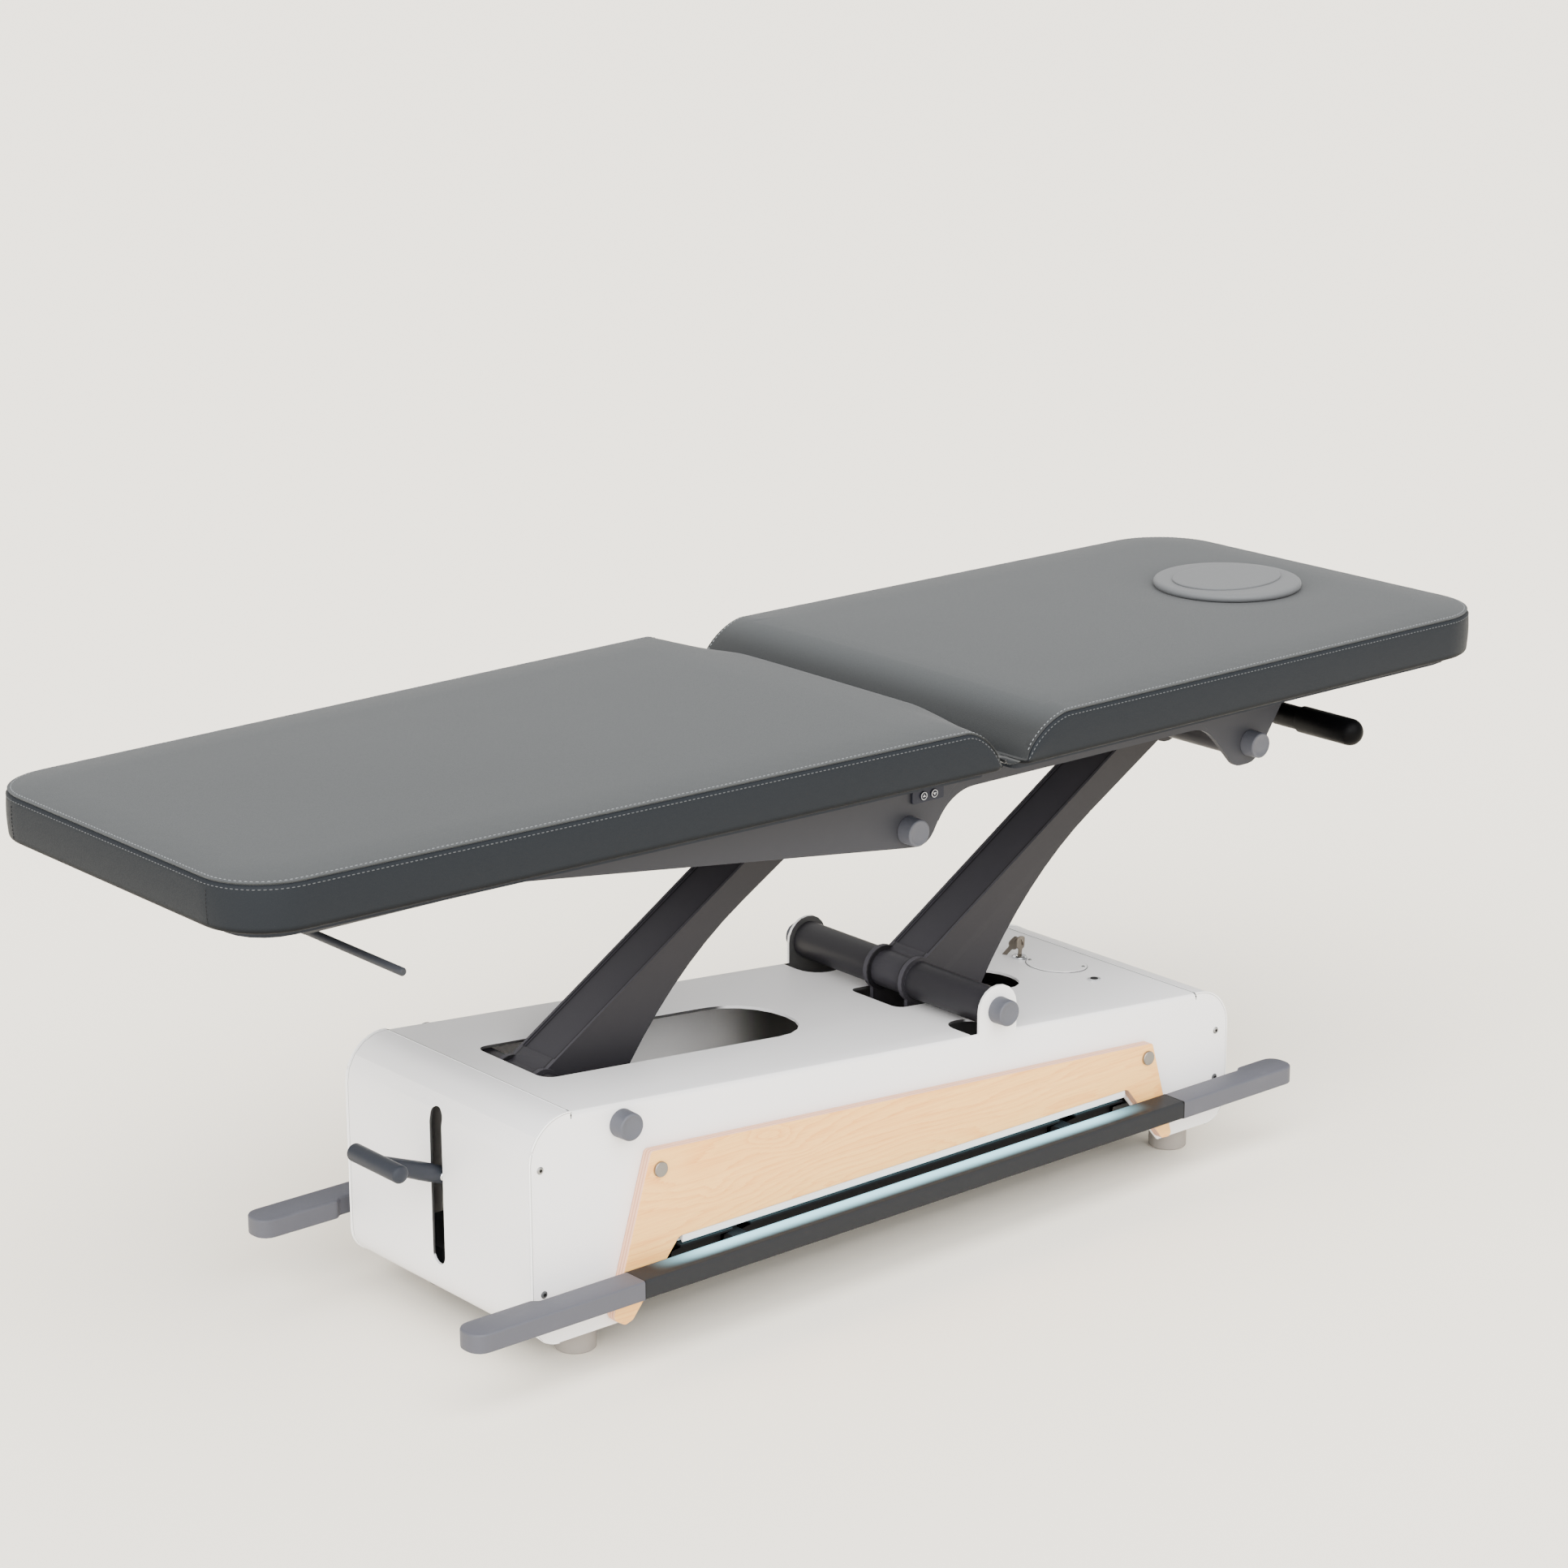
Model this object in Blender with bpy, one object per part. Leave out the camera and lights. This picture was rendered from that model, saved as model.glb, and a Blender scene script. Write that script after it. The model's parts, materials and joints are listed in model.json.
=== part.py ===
"""Electric physiotherapy table: wedge base, parallelogram lift and a padded top in two sections.

Units are metres. +Z is up, +X points to the head end and the near long side faces -Y.
The origin is on the floor below the middle of the tabletop.
"""
import math

import bmesh
import bpy
from mathutils import Matrix, Vector

# Clearances
SEAT = 0.0003              # between pieces that rest on each other
RUNNING = 0.0003           # radial gap of a piece that turns
ROOM = 0.002               # beside a piece that moves past another

# Tabletop
TABLE_LENGTH = 2.0
FRONT_LENGTH = 1.078
SECTION_GAP = 0.027
HEAD_WIDTH = 0.644
FOOT_WIDTH = 0.560
SIDE_BAND = 0.054          # cushion underside to the seam
CROWN = 0.008              # seam to the middle of the top
FOOT_CORNER = 0.085
HEAD_CORNER = 0.100
GAP_CORNER = 0.016
WATERFALL = 0.058          # rounded drop of the head cushion at the gap
GAP_ROUND = 0.024          # rounded end of the front cushion at the gap
SEAM_DEPTH = 0.0028
BOARD = 0.012
BOARD_INSET = 0.030
FACE_HOLE = 0.190
FACE_HOLE_INSET = 0.200    # from the head end
PLUG_RIM = 0.008           # the plug's flange beyond the hole
PLUG_RISE = 0.012
PLUG_DEPTH = 0.040

# Base housing
BASE_OFFSET = 0.027        # middle of the base, towards the head end
BASE_LENGTH = 1.186
BASE_WIDTH = 0.384
BASE_CLEARANCE = 0.045
BASE_MID_HEIGHT = 0.2868
BASE_SLOPE = 0.0896
SHEET = 0.004
BEND = 0.006
TOP_CORNER = 0.056
BOTTOM_CORNER = 0.038
END_COVER = 0.062          # reach of an end cover along the top
LEVER_SLOT_WIDTH = 0.025
LEVER_SLOT_LOW = 0.095
LEVER_SLOT_HIGH = 0.300
FOOT_ARM_WELL = (-0.453, -0.010)
FOOT_ARM_WELL_WIDTH = 0.146
HEAD_ARM_WELL = (0.142, 0.390)
HEAD_ARM_WELL_WIDTH = 0.100
EAR_RADIUS = 0.033
EAR_NOTCH = 0.060          # reach of the cut-out beside an ear

# Lift linkage
AXLE_HEIGHT = 0.302
AXLE_INSET = 0.1366        # foot axle from the foot end of the base
AXLE_SPAN = 0.618
ARM_LENGTH = 0.535
ARM_ANGLE = math.radians(30.9)
ARM_WIDTH = 0.074
ARM_PLATE = 0.006
ARM_WEB = 0.005
ARM_RECESS = 0.0025
ARM_TOP_LOW = 0.0152       # top edge above the pivot line at the base
ARM_TOP_HIGH = 0.0300      # and at the table
ARM_UNDER = 0.0150         # straight lower edge below the pivot line
ARM_SWEEP_START = 0.360    # where the lower edge starts to curve down
ARM_SWEEP = 0.547          # radius of that curve
FOOT_TUBE = 0.019          # tube radii: under the top sheet, between the ears, at the table
EAR_TUBE = 0.025
TABLE_TUBE = 0.022
FOOT_COLLAR = 0.024
COLLAR = 0.031
COLLAR_LENGTH = 0.009
CAP_RADIUS = 0.0180
CAP_LENGTH = 0.0220
CAP_SHANK = 0.010
CAP_REACH = 0.040          # shank inside the tube
CRANK = 0.085
CRANK_LEAD = math.radians(93.0)
CRANK_PIN = 0.008

# Lift actuator
ACTUATOR_REAR = -0.270
ACTUATOR_TUBE = 0.022
ACTUATOR_ROD = 0.012
ACTUATOR_FRONT = 0.075
ACTUATOR_DROP = 0.079      # below the axles
ACTUATOR_EYE = 0.010       # half thickness of the rod end
PIN_RISE = 0.006           # half the height that the crank pin wanders
PIVOT_PIN = 0.006

# Table frame
TABLE_RISE = 0.0963        # table pivots to the cushion underside
SIDE_PLATE = 0.008
PLATE_STRIP = 0.037
PLATE_TAIL = 0.805         # before the foot-side table pivot
LOBE_DROP = 0.0285
FRAME_BAR = 0.030
HEAD_BAR = 0.014
FRAME_FOOT = 0.140         # frame from the foot end of the table
FRAME_HEAD_REACH = 0.042335    # frame beyond the head-side table pivot
HEAD_FRAME_SIDE = 0.130
HEAD_RAIL = 0.028
HINGE_RISE = 0.027         # hinge axis above the cushion underside
HINGE_PIN = 0.005
HINGE_EYE = 0.010
LUG = 0.008
LUG_Y = 0.100

# Gas spring of the head section
SPRING_FOOT = (0.0235, -0.068)    # from the hinge axis
SPRING_HEAD = (0.4035, -0.078)
SPRING_TUBE = 0.011
SPRING_ROD = 0.005
SPRING_PIN = 0.004
SPRING_TUBE_LENGTH = 0.200
SPRING_SLOT = 0.0076       # half travel of the pin across the rod end
SPRING_SLACK = 0.0030
SPRING_EYE = 0.005
SPRING_FORK = 0.008
SIDE_ARCH_FOOT = (0.5010, 0.3890)  # open side of the housing, at the floor and at its ceiling
SIDE_ARCH_HEAD = (0.5010, 0.3940)
SPRING_NOTCH = 0.009       # depth of the notch above the spring in the head frame

# Release lever
LEVER_REACH = 0.058        # beyond the head end of the frame
LEVER_DROP = 0.054444      # below the head frame
LEVER_ROD = 0.0065
LEVER_PIVOT_INSET = 0.010  # from the side of the head frame
LEVER_END_INSET = 0.022    # from the long side of the cushion
GRIP_RADIUS = 0.0155
GRIP_LENGTH = 0.092

# Paper roll bar
ROLL_BAR_INSET = 0.200     # from the foot end
ROLL_BAR_DROP = 0.030444   # below the table frame
ROLL_BAR_RADIUS = 0.005
ROLL_BAR_PROUD = 0.007     # beyond the narrow end of the cushion
ROLL_BAR_BEND = 0.020

# Side panels and lights
PANEL = 0.0147
PANEL_CUT_Z = 0.1395
LIGHT_HEIGHT = 0.0065
LIGHT_DEPTH = 0.0140
LIGHT_SPAN = (-0.346, 0.408)

# Foot bars
BAR_GAP = 0.0035           # between a side panel and its foot bar
BAR_WIDTH = 0.039
BAR_LOW = 0.094
BAR_HEIGHT = 0.0245
BAR_SPAN = (-0.440, 0.480)
BAR_TIPS = (-0.690, 0.700)
BAR_PADDLE = 0.046
BAR_TIP_RADIUS = 0.019
BAR_AXIS_INSET = 0.027     # shaft from the side of the base
BAR_AXIS_Z = 0.106
BAR_SHAFT = 0.005
BAR_SLEEVE = 0.010
BAR_ARM = 0.024
BAR_ARM_X = 0.280
BAR_LUG_X = 0.320

# Base frame and castors
RAIL_INSET = 0.044         # rail from the side of the base
RAIL_WIDTH = 0.030
RAIL_HEIGHT = 0.040
FOOT_PAD = 0.026
FOOT_PAD_INSETS = (0.106, 0.050)  # from the foot and head ends of the base
FOOT_STUD = 0.006
CROSS_BARS = ((-0.285, -0.235), (0.120, 0.160))
END_BAR = 0.050
CASTOR_DROP = 0.020
CASTOR_X = (-0.360, 0.450)
CASTOR_RADIUS = 0.030
CASTOR_WIDTH = 0.022
CASTOR_INSET = 0.029       # middle of a wheel from the rail
CASTOR_LIFT = 0.012
CARRIAGE_HEIGHT = 0.018
CARRIAGE_SPINE = 0.015
AXLE_STUB = 0.005
GUIDE_X = (-0.260, 0.140)
GUIDE_PIN = 0.006
TREAD_PIVOT = (-0.500, 0.186)
TREAD_BAR = (-0.6515, 0.2495)
TREAD_STEM = 0.010
TREAD_BAR_RADIUS = 0.0095
TREAD_BAR_LENGTH = 0.106
TREAD_HUB = 0.013

# Small fittings
KEY_XY = (0.462, 0.055)
KEY_BEZEL = 0.011
KEY_BARREL = 0.0085
KEY_BARREL_DEPTH = 0.025
KEY_THICK = 0.0018
KEY_BLADE = 0.007
KEY_BOW = 0.0115
KEY_RISE = 0.022
DISC_XY = (0.486, 0.006)
DISC_RADIUS = 0.0425
DISC_THICK = 0.0018
SOCKET_XY = (0.479, -0.075)
SOCKET_SIZE = (0.020, 0.013)
SOCKET_HEIGHT = 0.0022
BUTTON_PANEL_REACH = (0.003835, 0.056835)    # from the foot-side table pivot
BUTTON_PANEL_RISE = (0.032256, 0.049456)     # above it
BUTTON_PANEL_THICK = 0.004
BUTTON_REACH = (0.021735, 0.039435)
BUTTON_RISE = 0.041056
BUTTON_RADIUS = 0.0056
BUTTON_PROUD = 0.0019
BUTTON_TRAVEL = 0.0015
BOX_X = (0.372, 0.540)
BOX_GAP = 0.008            # to the inside of the housing
BOX_WIDTH = 0.072
BOX_HEIGHT = 0.075

# Values that follow from the sizes above
FOOT_END = -TABLE_LENGTH / 2
HEAD_END = TABLE_LENGTH / 2
FRONT_END = FOOT_END + FRONT_LENGTH
HEAD_START = FRONT_END + SECTION_GAP
BASE_FOOT = BASE_OFFSET - BASE_LENGTH / 2
BASE_HEAD = BASE_OFFSET + BASE_LENGTH / 2
BASE_SIDE = BASE_WIDTH / 2
BASE_INSIDE = BASE_SIDE - SHEET
PIVOT_A = Vector((BASE_FOOT + AXLE_INSET, 0.0, AXLE_HEIGHT))
PIVOT_B = PIVOT_A + Vector((AXLE_SPAN, 0.0, 0.0))
ARM_VECTOR = Vector((math.cos(ARM_ANGLE), 0.0, math.sin(ARM_ANGLE))) * ARM_LENGTH
PIVOT_C = PIVOT_A + ARM_VECTOR
PIVOT_D = PIVOT_B + ARM_VECTOR
CUSHION_LOW = PIVOT_C.z + TABLE_RISE
CUSHION_TOP = CUSHION_LOW + SIDE_BAND + CROWN
BOARD_TOP = CUSHION_LOW - SEAT
FRAME_TOP = BOARD_TOP - BOARD - SEAT
FRAME_LOW = FRAME_TOP - FRAME_BAR
HEAD_FRAME_LOW = FRAME_TOP - HEAD_BAR
LADDER_TOP = HEAD_FRAME_LOW - SEAT
LADDER_LOW = LADDER_TOP - FRAME_BAR
PLATE_INSIDE = BASE_SIDE - SIDE_PLATE
FRAME_SIDE = PLATE_INSIDE - SEAT
HINGE = Vector((FRONT_END + SECTION_GAP / 2, 0.0, CUSHION_LOW + HINGE_RISE))
PLUG_X = HEAD_END - FACE_HOLE_INSET
RAIL_LOW = BASE_CLEARANCE + SHEET + 0.0005
RAIL_TOP = RAIL_LOW + RAIL_HEIGHT
RAIL_OUTER = BASE_SIDE - RAIL_INSET
RAIL_INNER = RAIL_OUTER - RAIL_WIDTH
FOOT_PAD_Y = RAIL_OUTER - RAIL_WIDTH / 2
FOOT_PAD_X = (BASE_FOOT + FOOT_PAD_INSETS[0], BASE_HEAD - FOOT_PAD_INSETS[1])
CASTOR_Y = RAIL_INNER - CASTOR_INSET
BAR_AXIS_Y = BASE_SIDE - BAR_AXIS_INSET
BOX_Y = (BASE_INSIDE - BOX_GAP - BOX_WIDTH, BASE_INSIDE - BOX_GAP)
FRAME_HEAD = PIVOT_D.x + FRAME_HEAD_REACH
LEVER_X = FRAME_HEAD + LEVER_REACH
LEVER_Z = HEAD_FRAME_LOW - LEVER_DROP
LEVER_PIVOT_Y = -(HEAD_FRAME_SIDE - LEVER_PIVOT_INSET)
LEVER_END_Y = -(HEAD_WIDTH / 2 - LEVER_END_INSET)
ROLL_BAR_X = FOOT_END + ROLL_BAR_INSET
ROLL_BAR_Z = FRAME_LOW - ROLL_BAR_DROP
ROLL_BAR_END = FOOT_WIDTH / 2 + ROLL_BAR_PROUD
BUTTON_PANEL_X = tuple(PIVOT_C.x + reach for reach in BUTTON_PANEL_REACH)
BUTTON_PANEL_Z = tuple(PIVOT_C.z + rise for rise in BUTTON_PANEL_RISE)
BUTTON_X = tuple(PIVOT_C.x + reach for reach in BUTTON_REACH)
BUTTON_Z = PIVOT_C.z + BUTTON_RISE
FRAME_START = BASE_FOOT + BOTTOM_CORNER
FRAME_STOP = BASE_HEAD - BOTTOM_CORNER
CASTOR_Z = CASTOR_LIFT + CASTOR_RADIUS
CARRIAGE_LOW = RAIL_TOP + CASTOR_DROP + ROOM
CARRIAGE_TOP = CARRIAGE_LOW + CARRIAGE_HEIGHT
ACTUATOR_Z = AXLE_HEIGHT - ACTUATOR_DROP
CRANK_PIN_X = PIVOT_B.x + CRANK * math.cos(CRANK_LEAD)
PANEL_OUT = BASE_SIDE + SEAT + PANEL
BAR_INNER = PANEL_OUT + BAR_GAP
ARC_STEP = math.radians(18.0)
TOP_TILT = math.atan(BASE_SLOPE)


def base_top(x):
    """Height of the sloping top of the base."""
    return BASE_MID_HEIGHT - BASE_SLOPE * (x - BASE_OFFSET)


def srgb(red, green, blue):
    """Linear colour from 0 to 255 screen values."""
    return tuple((value / 255.0) ** 2.2 for value in (red, green, blue))


# Finishes: colour, roughness, metallic
FINISHES = {
    "pad_top": (srgb(130, 133, 134), 0.55, 0.0),
    "plug_cover": (srgb(152, 154, 155), 0.55, 0.0),
    "housing_paint": (srgb(222, 219, 216), 0.42, 0.0),
    "arm_paint": (srgb(62, 62, 64), 0.45, 0.0),
    "plate_paint": (srgb(96, 97, 99), 0.50, 0.0),
    "frame_paint": (srgb(70, 71, 73), 0.50, 0.0),
    "cap_plastic": (srgb(146, 148, 152), 0.45, 0.0),
    "light_wood": (srgb(236, 203, 160), 0.50, 0.0),
    "board_wood": (srgb(150, 120, 88), 0.60, 0.0),
    "bar_plastic": (srgb(70, 71, 72), 0.35, 0.0),
    "tip_plastic": (srgb(152, 152, 156), 0.45, 0.0),
    "black_plastic": (srgb(26, 26, 27), 0.40, 0.0),
    "grey_plastic": (srgb(88, 89, 91), 0.45, 0.0),
    "chrome": (srgb(205, 207, 210), 0.12, 1.0),
    "steel": (srgb(168, 170, 173), 0.30, 1.0),
    "light_bar": (srgb(226, 240, 244), 0.30, 0.0),
    "foot_rubber": (srgb(150, 150, 150), 0.60, 0.0),
    "wheel_rubber": (srgb(48, 48, 50), 0.60, 0.0),
    "key_nickel": (srgb(150, 128, 96), 0.30, 1.0),
}

# One parent for each moving group, on its joint axis
ORIGINS = {
    "base": Vector((0.0, 0.0, 0.0)),
    "arm_foot": PIVOT_A,
    "arm_head": PIVOT_B,
    "actuator": Vector((CRANK_PIN_X, 0.0, ACTUATOR_Z)),
    "table": PIVOT_C,
    "head": HINGE,
    "spring_tube": HINGE + Vector((SPRING_FOOT[0], 0.0, SPRING_FOOT[1])),
    "spring_rod": HINGE + Vector((SPRING_HEAD[0], 0.0, SPRING_HEAD[1])),
    "release": Vector((LEVER_X, LEVER_PIVOT_Y, LEVER_Z)),
    "plug": Vector((PLUG_X, 0.0, CUSHION_TOP)),
    "button_up": Vector((BUTTON_X[0], -BASE_SIDE, BUTTON_Z)),
    "button_down": Vector((BUTTON_X[1], -BASE_SIDE, BUTTON_Z)),
    "foot_bar_near": Vector((BASE_OFFSET, -BAR_AXIS_Y, BAR_AXIS_Z)),
    "foot_bar_far": Vector((BASE_OFFSET, BAR_AXIS_Y, BAR_AXIS_Z)),
    "tread": Vector((TREAD_PIVOT[0], 0.0, TREAD_PIVOT[1])),
    "carriage": Vector((0.0, 0.0, CARRIAGE_LOW)),
    "key": Vector((KEY_XY[0], KEY_XY[1], base_top(KEY_XY[0]))),
}
for end, castor_x in zip(("foot", "head"), CASTOR_X):
    for side, sign in (("near", -1.0), ("far", 1.0)):
        ORIGINS[f"wheel_{end}_{side}"] = Vector((castor_x, sign * CASTOR_Y, CASTOR_Z))

SIDES = (("near", -1.0), ("far", 1.0))


def clear_scene():
    """Remove whatever the start-up scene holds."""
    for old in list(bpy.data.objects):
        bpy.data.objects.remove(old)


def finish_material(name):
    """One Principled material for each finish, made on first use."""
    found = bpy.data.materials.get(name)
    if found:
        return found
    colour, roughness, metallic = FINISHES[name]
    made = bpy.data.materials.new(name)
    made.use_nodes = True
    shader = made.node_tree.nodes["Principled BSDF"]
    shader.inputs["Base Color"].default_value = (*colour, 1.0)
    shader.inputs["Roughness"].default_value = roughness
    shader.inputs["Metallic"].default_value = metallic
    made.diffuse_color = (*colour, 1.0)
    return made


def fillet(corners):
    """Closed outline from (a, b) or (a, b, radius) corners, each radius drawn as an arc."""
    outline = []
    count = len(corners)
    for index, corner in enumerate(corners):
        here = Vector(corner[:2])
        radius = corner[2] if len(corner) > 2 else 0.0
        if radius <= 0.0:
            outline.append(here)
            continue
        before = (Vector(corners[index - 1][:2]) - here).normalized()
        after = (Vector(corners[(index + 1) % count][:2]) - here).normalized()
        half = before.angle(after) / 2
        centre = here + (before + after).normalized() * (radius / math.sin(half))
        start = here + before * (radius / math.tan(half)) - centre
        end = here + after * (radius / math.tan(half)) - centre
        first = math.atan2(start.y, start.x)
        turn = (math.atan2(end.y, end.x) - first + math.pi) % (2 * math.pi) - math.pi
        steps = max(2, round(abs(turn) / ARC_STEP))
        for step in range(steps + 1):
            angle = first + turn * step / steps
            outline.append(centre + radius * Vector((math.cos(angle), math.sin(angle))))
    return outline


def place(axis, first, second, along):
    """Point with two coordinates across an axis and one along it."""
    if axis == "X":
        return (along, first, second)
    if axis == "Y":
        return (first, along, second)
    return (first, second, along)


def loft(rings, closed=False):
    """Closed skin through rings of equal count; a ring of one point is a pole."""
    shape = bmesh.new()
    rows = [[shape.verts.new(point) for point in ring] for ring in rings]
    pairs = list(zip(rows, rows[1:]))
    if closed:
        pairs.append((rows[-1], rows[0]))
    for low, high in pairs:
        count = max(len(low), len(high))
        if count == 1:
            continue
        for index in range(count):
            after = (index + 1) % count
            corners = []
            for vert in (low[index % len(low)], low[after % len(low)],
                         high[after % len(high)], high[index % len(high)]):
                if vert not in corners:
                    corners.append(vert)
            shape.faces.new(corners)
    if not closed:
        for row in (rows[0], rows[-1]):
            if len(row) > 2:
                shape.faces.new(row)
    bmesh.ops.recalc_face_normals(shape, faces=shape.faces)
    return shape


def prism(outline, axis, low, high):
    """Prism: an outline across an axis, drawn from low to high along it."""
    return loft([[place(axis, a, b, level) for a, b in outline] for level in (low, high)])


def box(x, y, z):
    """Box from three (low, high) pairs."""
    return prism([(x[0], y[0]), (x[1], y[0]), (x[1], y[1]), (x[0], y[1])], "Z", z[0], z[1])


def turned(profile, centre, axis, sides=20, closed=False):
    """Solid of revolution from (radius, offset) pairs along an axis through centre."""
    rings = []
    for radius, offset in profile:
        if radius == 0.0:
            rings.append([Vector(centre) + Vector(place(axis, 0.0, 0.0, offset))])
            continue
        ring = []
        for index in range(sides):
            angle = 2 * math.pi * index / sides
            ring.append(Vector(centre) + Vector(
                place(axis, radius * math.cos(angle), radius * math.sin(angle), offset)))
        rings.append(ring)
    return loft(rings, closed)


def rod(radius, low, high, centre, axis, sides=16, edge=0.0):
    """Round bar along an axis, with an optional small chamfer at both ends."""
    if edge <= 0.0:
        profile = [(0.0, low), (radius, low), (radius, high), (0.0, high)]
    else:
        profile = [(0.0, low), (radius - edge, low), (radius, low + edge),
                   (radius, high - edge), (radius - edge, high), (0.0, high)]
    return turned(profile, centre, axis, sides)


def moved(shape, matrix):
    """The shape after a placing matrix."""
    bmesh.ops.transform(shape, matrix=matrix, verts=shape.verts)
    return shape


def joined(shapes):
    """Several shapes, clear of each other, as one tool."""
    whole = bmesh.new()
    for shape in shapes:
        held = bpy.data.meshes.new("held")
        shape.to_mesh(held)
        shape.free()
        whole.from_mesh(held)
        bpy.data.meshes.remove(held)
    return whole


def new_object(name, shape, group):
    """Object for a shape given in world places, with its origin on its group's axis."""
    bmesh.ops.translate(shape, verts=shape.verts, vec=-ORIGINS[group])
    mesh = bpy.data.meshes.new(name)
    shape.to_mesh(mesh)
    shape.free()
    made = bpy.data.objects.new(name, mesh)
    bpy.context.scene.collection.objects.link(made)
    made.parent = bpy.data.objects["group_" + group]
    return made


def piece(name, shape, finish, group):
    """One named piece of the table."""
    made = new_object(name, shape, group)
    made.data.materials.append(finish_material(finish))
    made.data.shade_smooth()
    made.data.set_sharp_from_angle(angle=math.radians(32.0))
    made["group"] = group
    return made


def change(owner, shape, operation):
    """Cut a shape from a piece, or join it on, through a hidden tool."""
    held = new_object(owner.name + "_tool", shape, owner["group"])
    held.hide_render = True
    held.display_type = "WIRE"
    step = owner.modifiers.new(operation.title(), "BOOLEAN")
    step.operation = operation
    step.solver = "EXACT"
    step.object = held


def cut(owner, *shapes):
    """Take shapes away from a piece."""
    change(owner, joined(shapes), "DIFFERENCE")


def add(owner, *shapes):
    """Join shapes onto a piece, one after the other."""
    for shape in shapes:
        change(owner, shape, "UNION")


def between(sign, inner, outer):
    """Low and high Y of a piece between two distances on one side."""
    return tuple(sorted((sign * inner, sign * outer)))


def stadium(x, y, radius_low, radius_high):
    """Plan outline of a rectangle with its own corner radius at each X end."""
    return fillet([(x[0], y[0], radius_low), (x[1], y[0], radius_high),
                   (x[1], y[1], radius_high), (x[0], y[1], radius_low)])


def make_groups():
    """One empty for each moving group, on its joint axis."""
    for name, origin in ORIGINS.items():
        empty = bpy.data.objects.new("group_" + name, None)
        empty.location = origin
        empty.empty_display_size = 0.03
        bpy.context.scene.collection.objects.link(empty)
    bpy.context.view_layer.update()


def cover_ring(y, drop):
    """Side outline of the housing at one Y; between the seams the top is lowered by the bend."""
    seam_foot = BASE_FOOT + END_COVER
    seam_head = BASE_HEAD - END_COVER
    outline = fillet([(BASE_FOOT, base_top(BASE_FOOT), TOP_CORNER),
                      (BASE_FOOT, BASE_CLEARANCE, BOTTOM_CORNER),
                      (BASE_HEAD, BASE_CLEARANCE, BOTTOM_CORNER),
                      (BASE_HEAD, base_top(BASE_HEAD), TOP_CORNER)])
    outline += [Vector((seam_head, base_top(seam_head))),
                Vector((seam_head, base_top(seam_head) - drop)),
                Vector((seam_foot, base_top(seam_foot) - drop)),
                Vector((seam_foot, base_top(seam_foot)))]
    return [(a, y, b) for a, b in outline]


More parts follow.
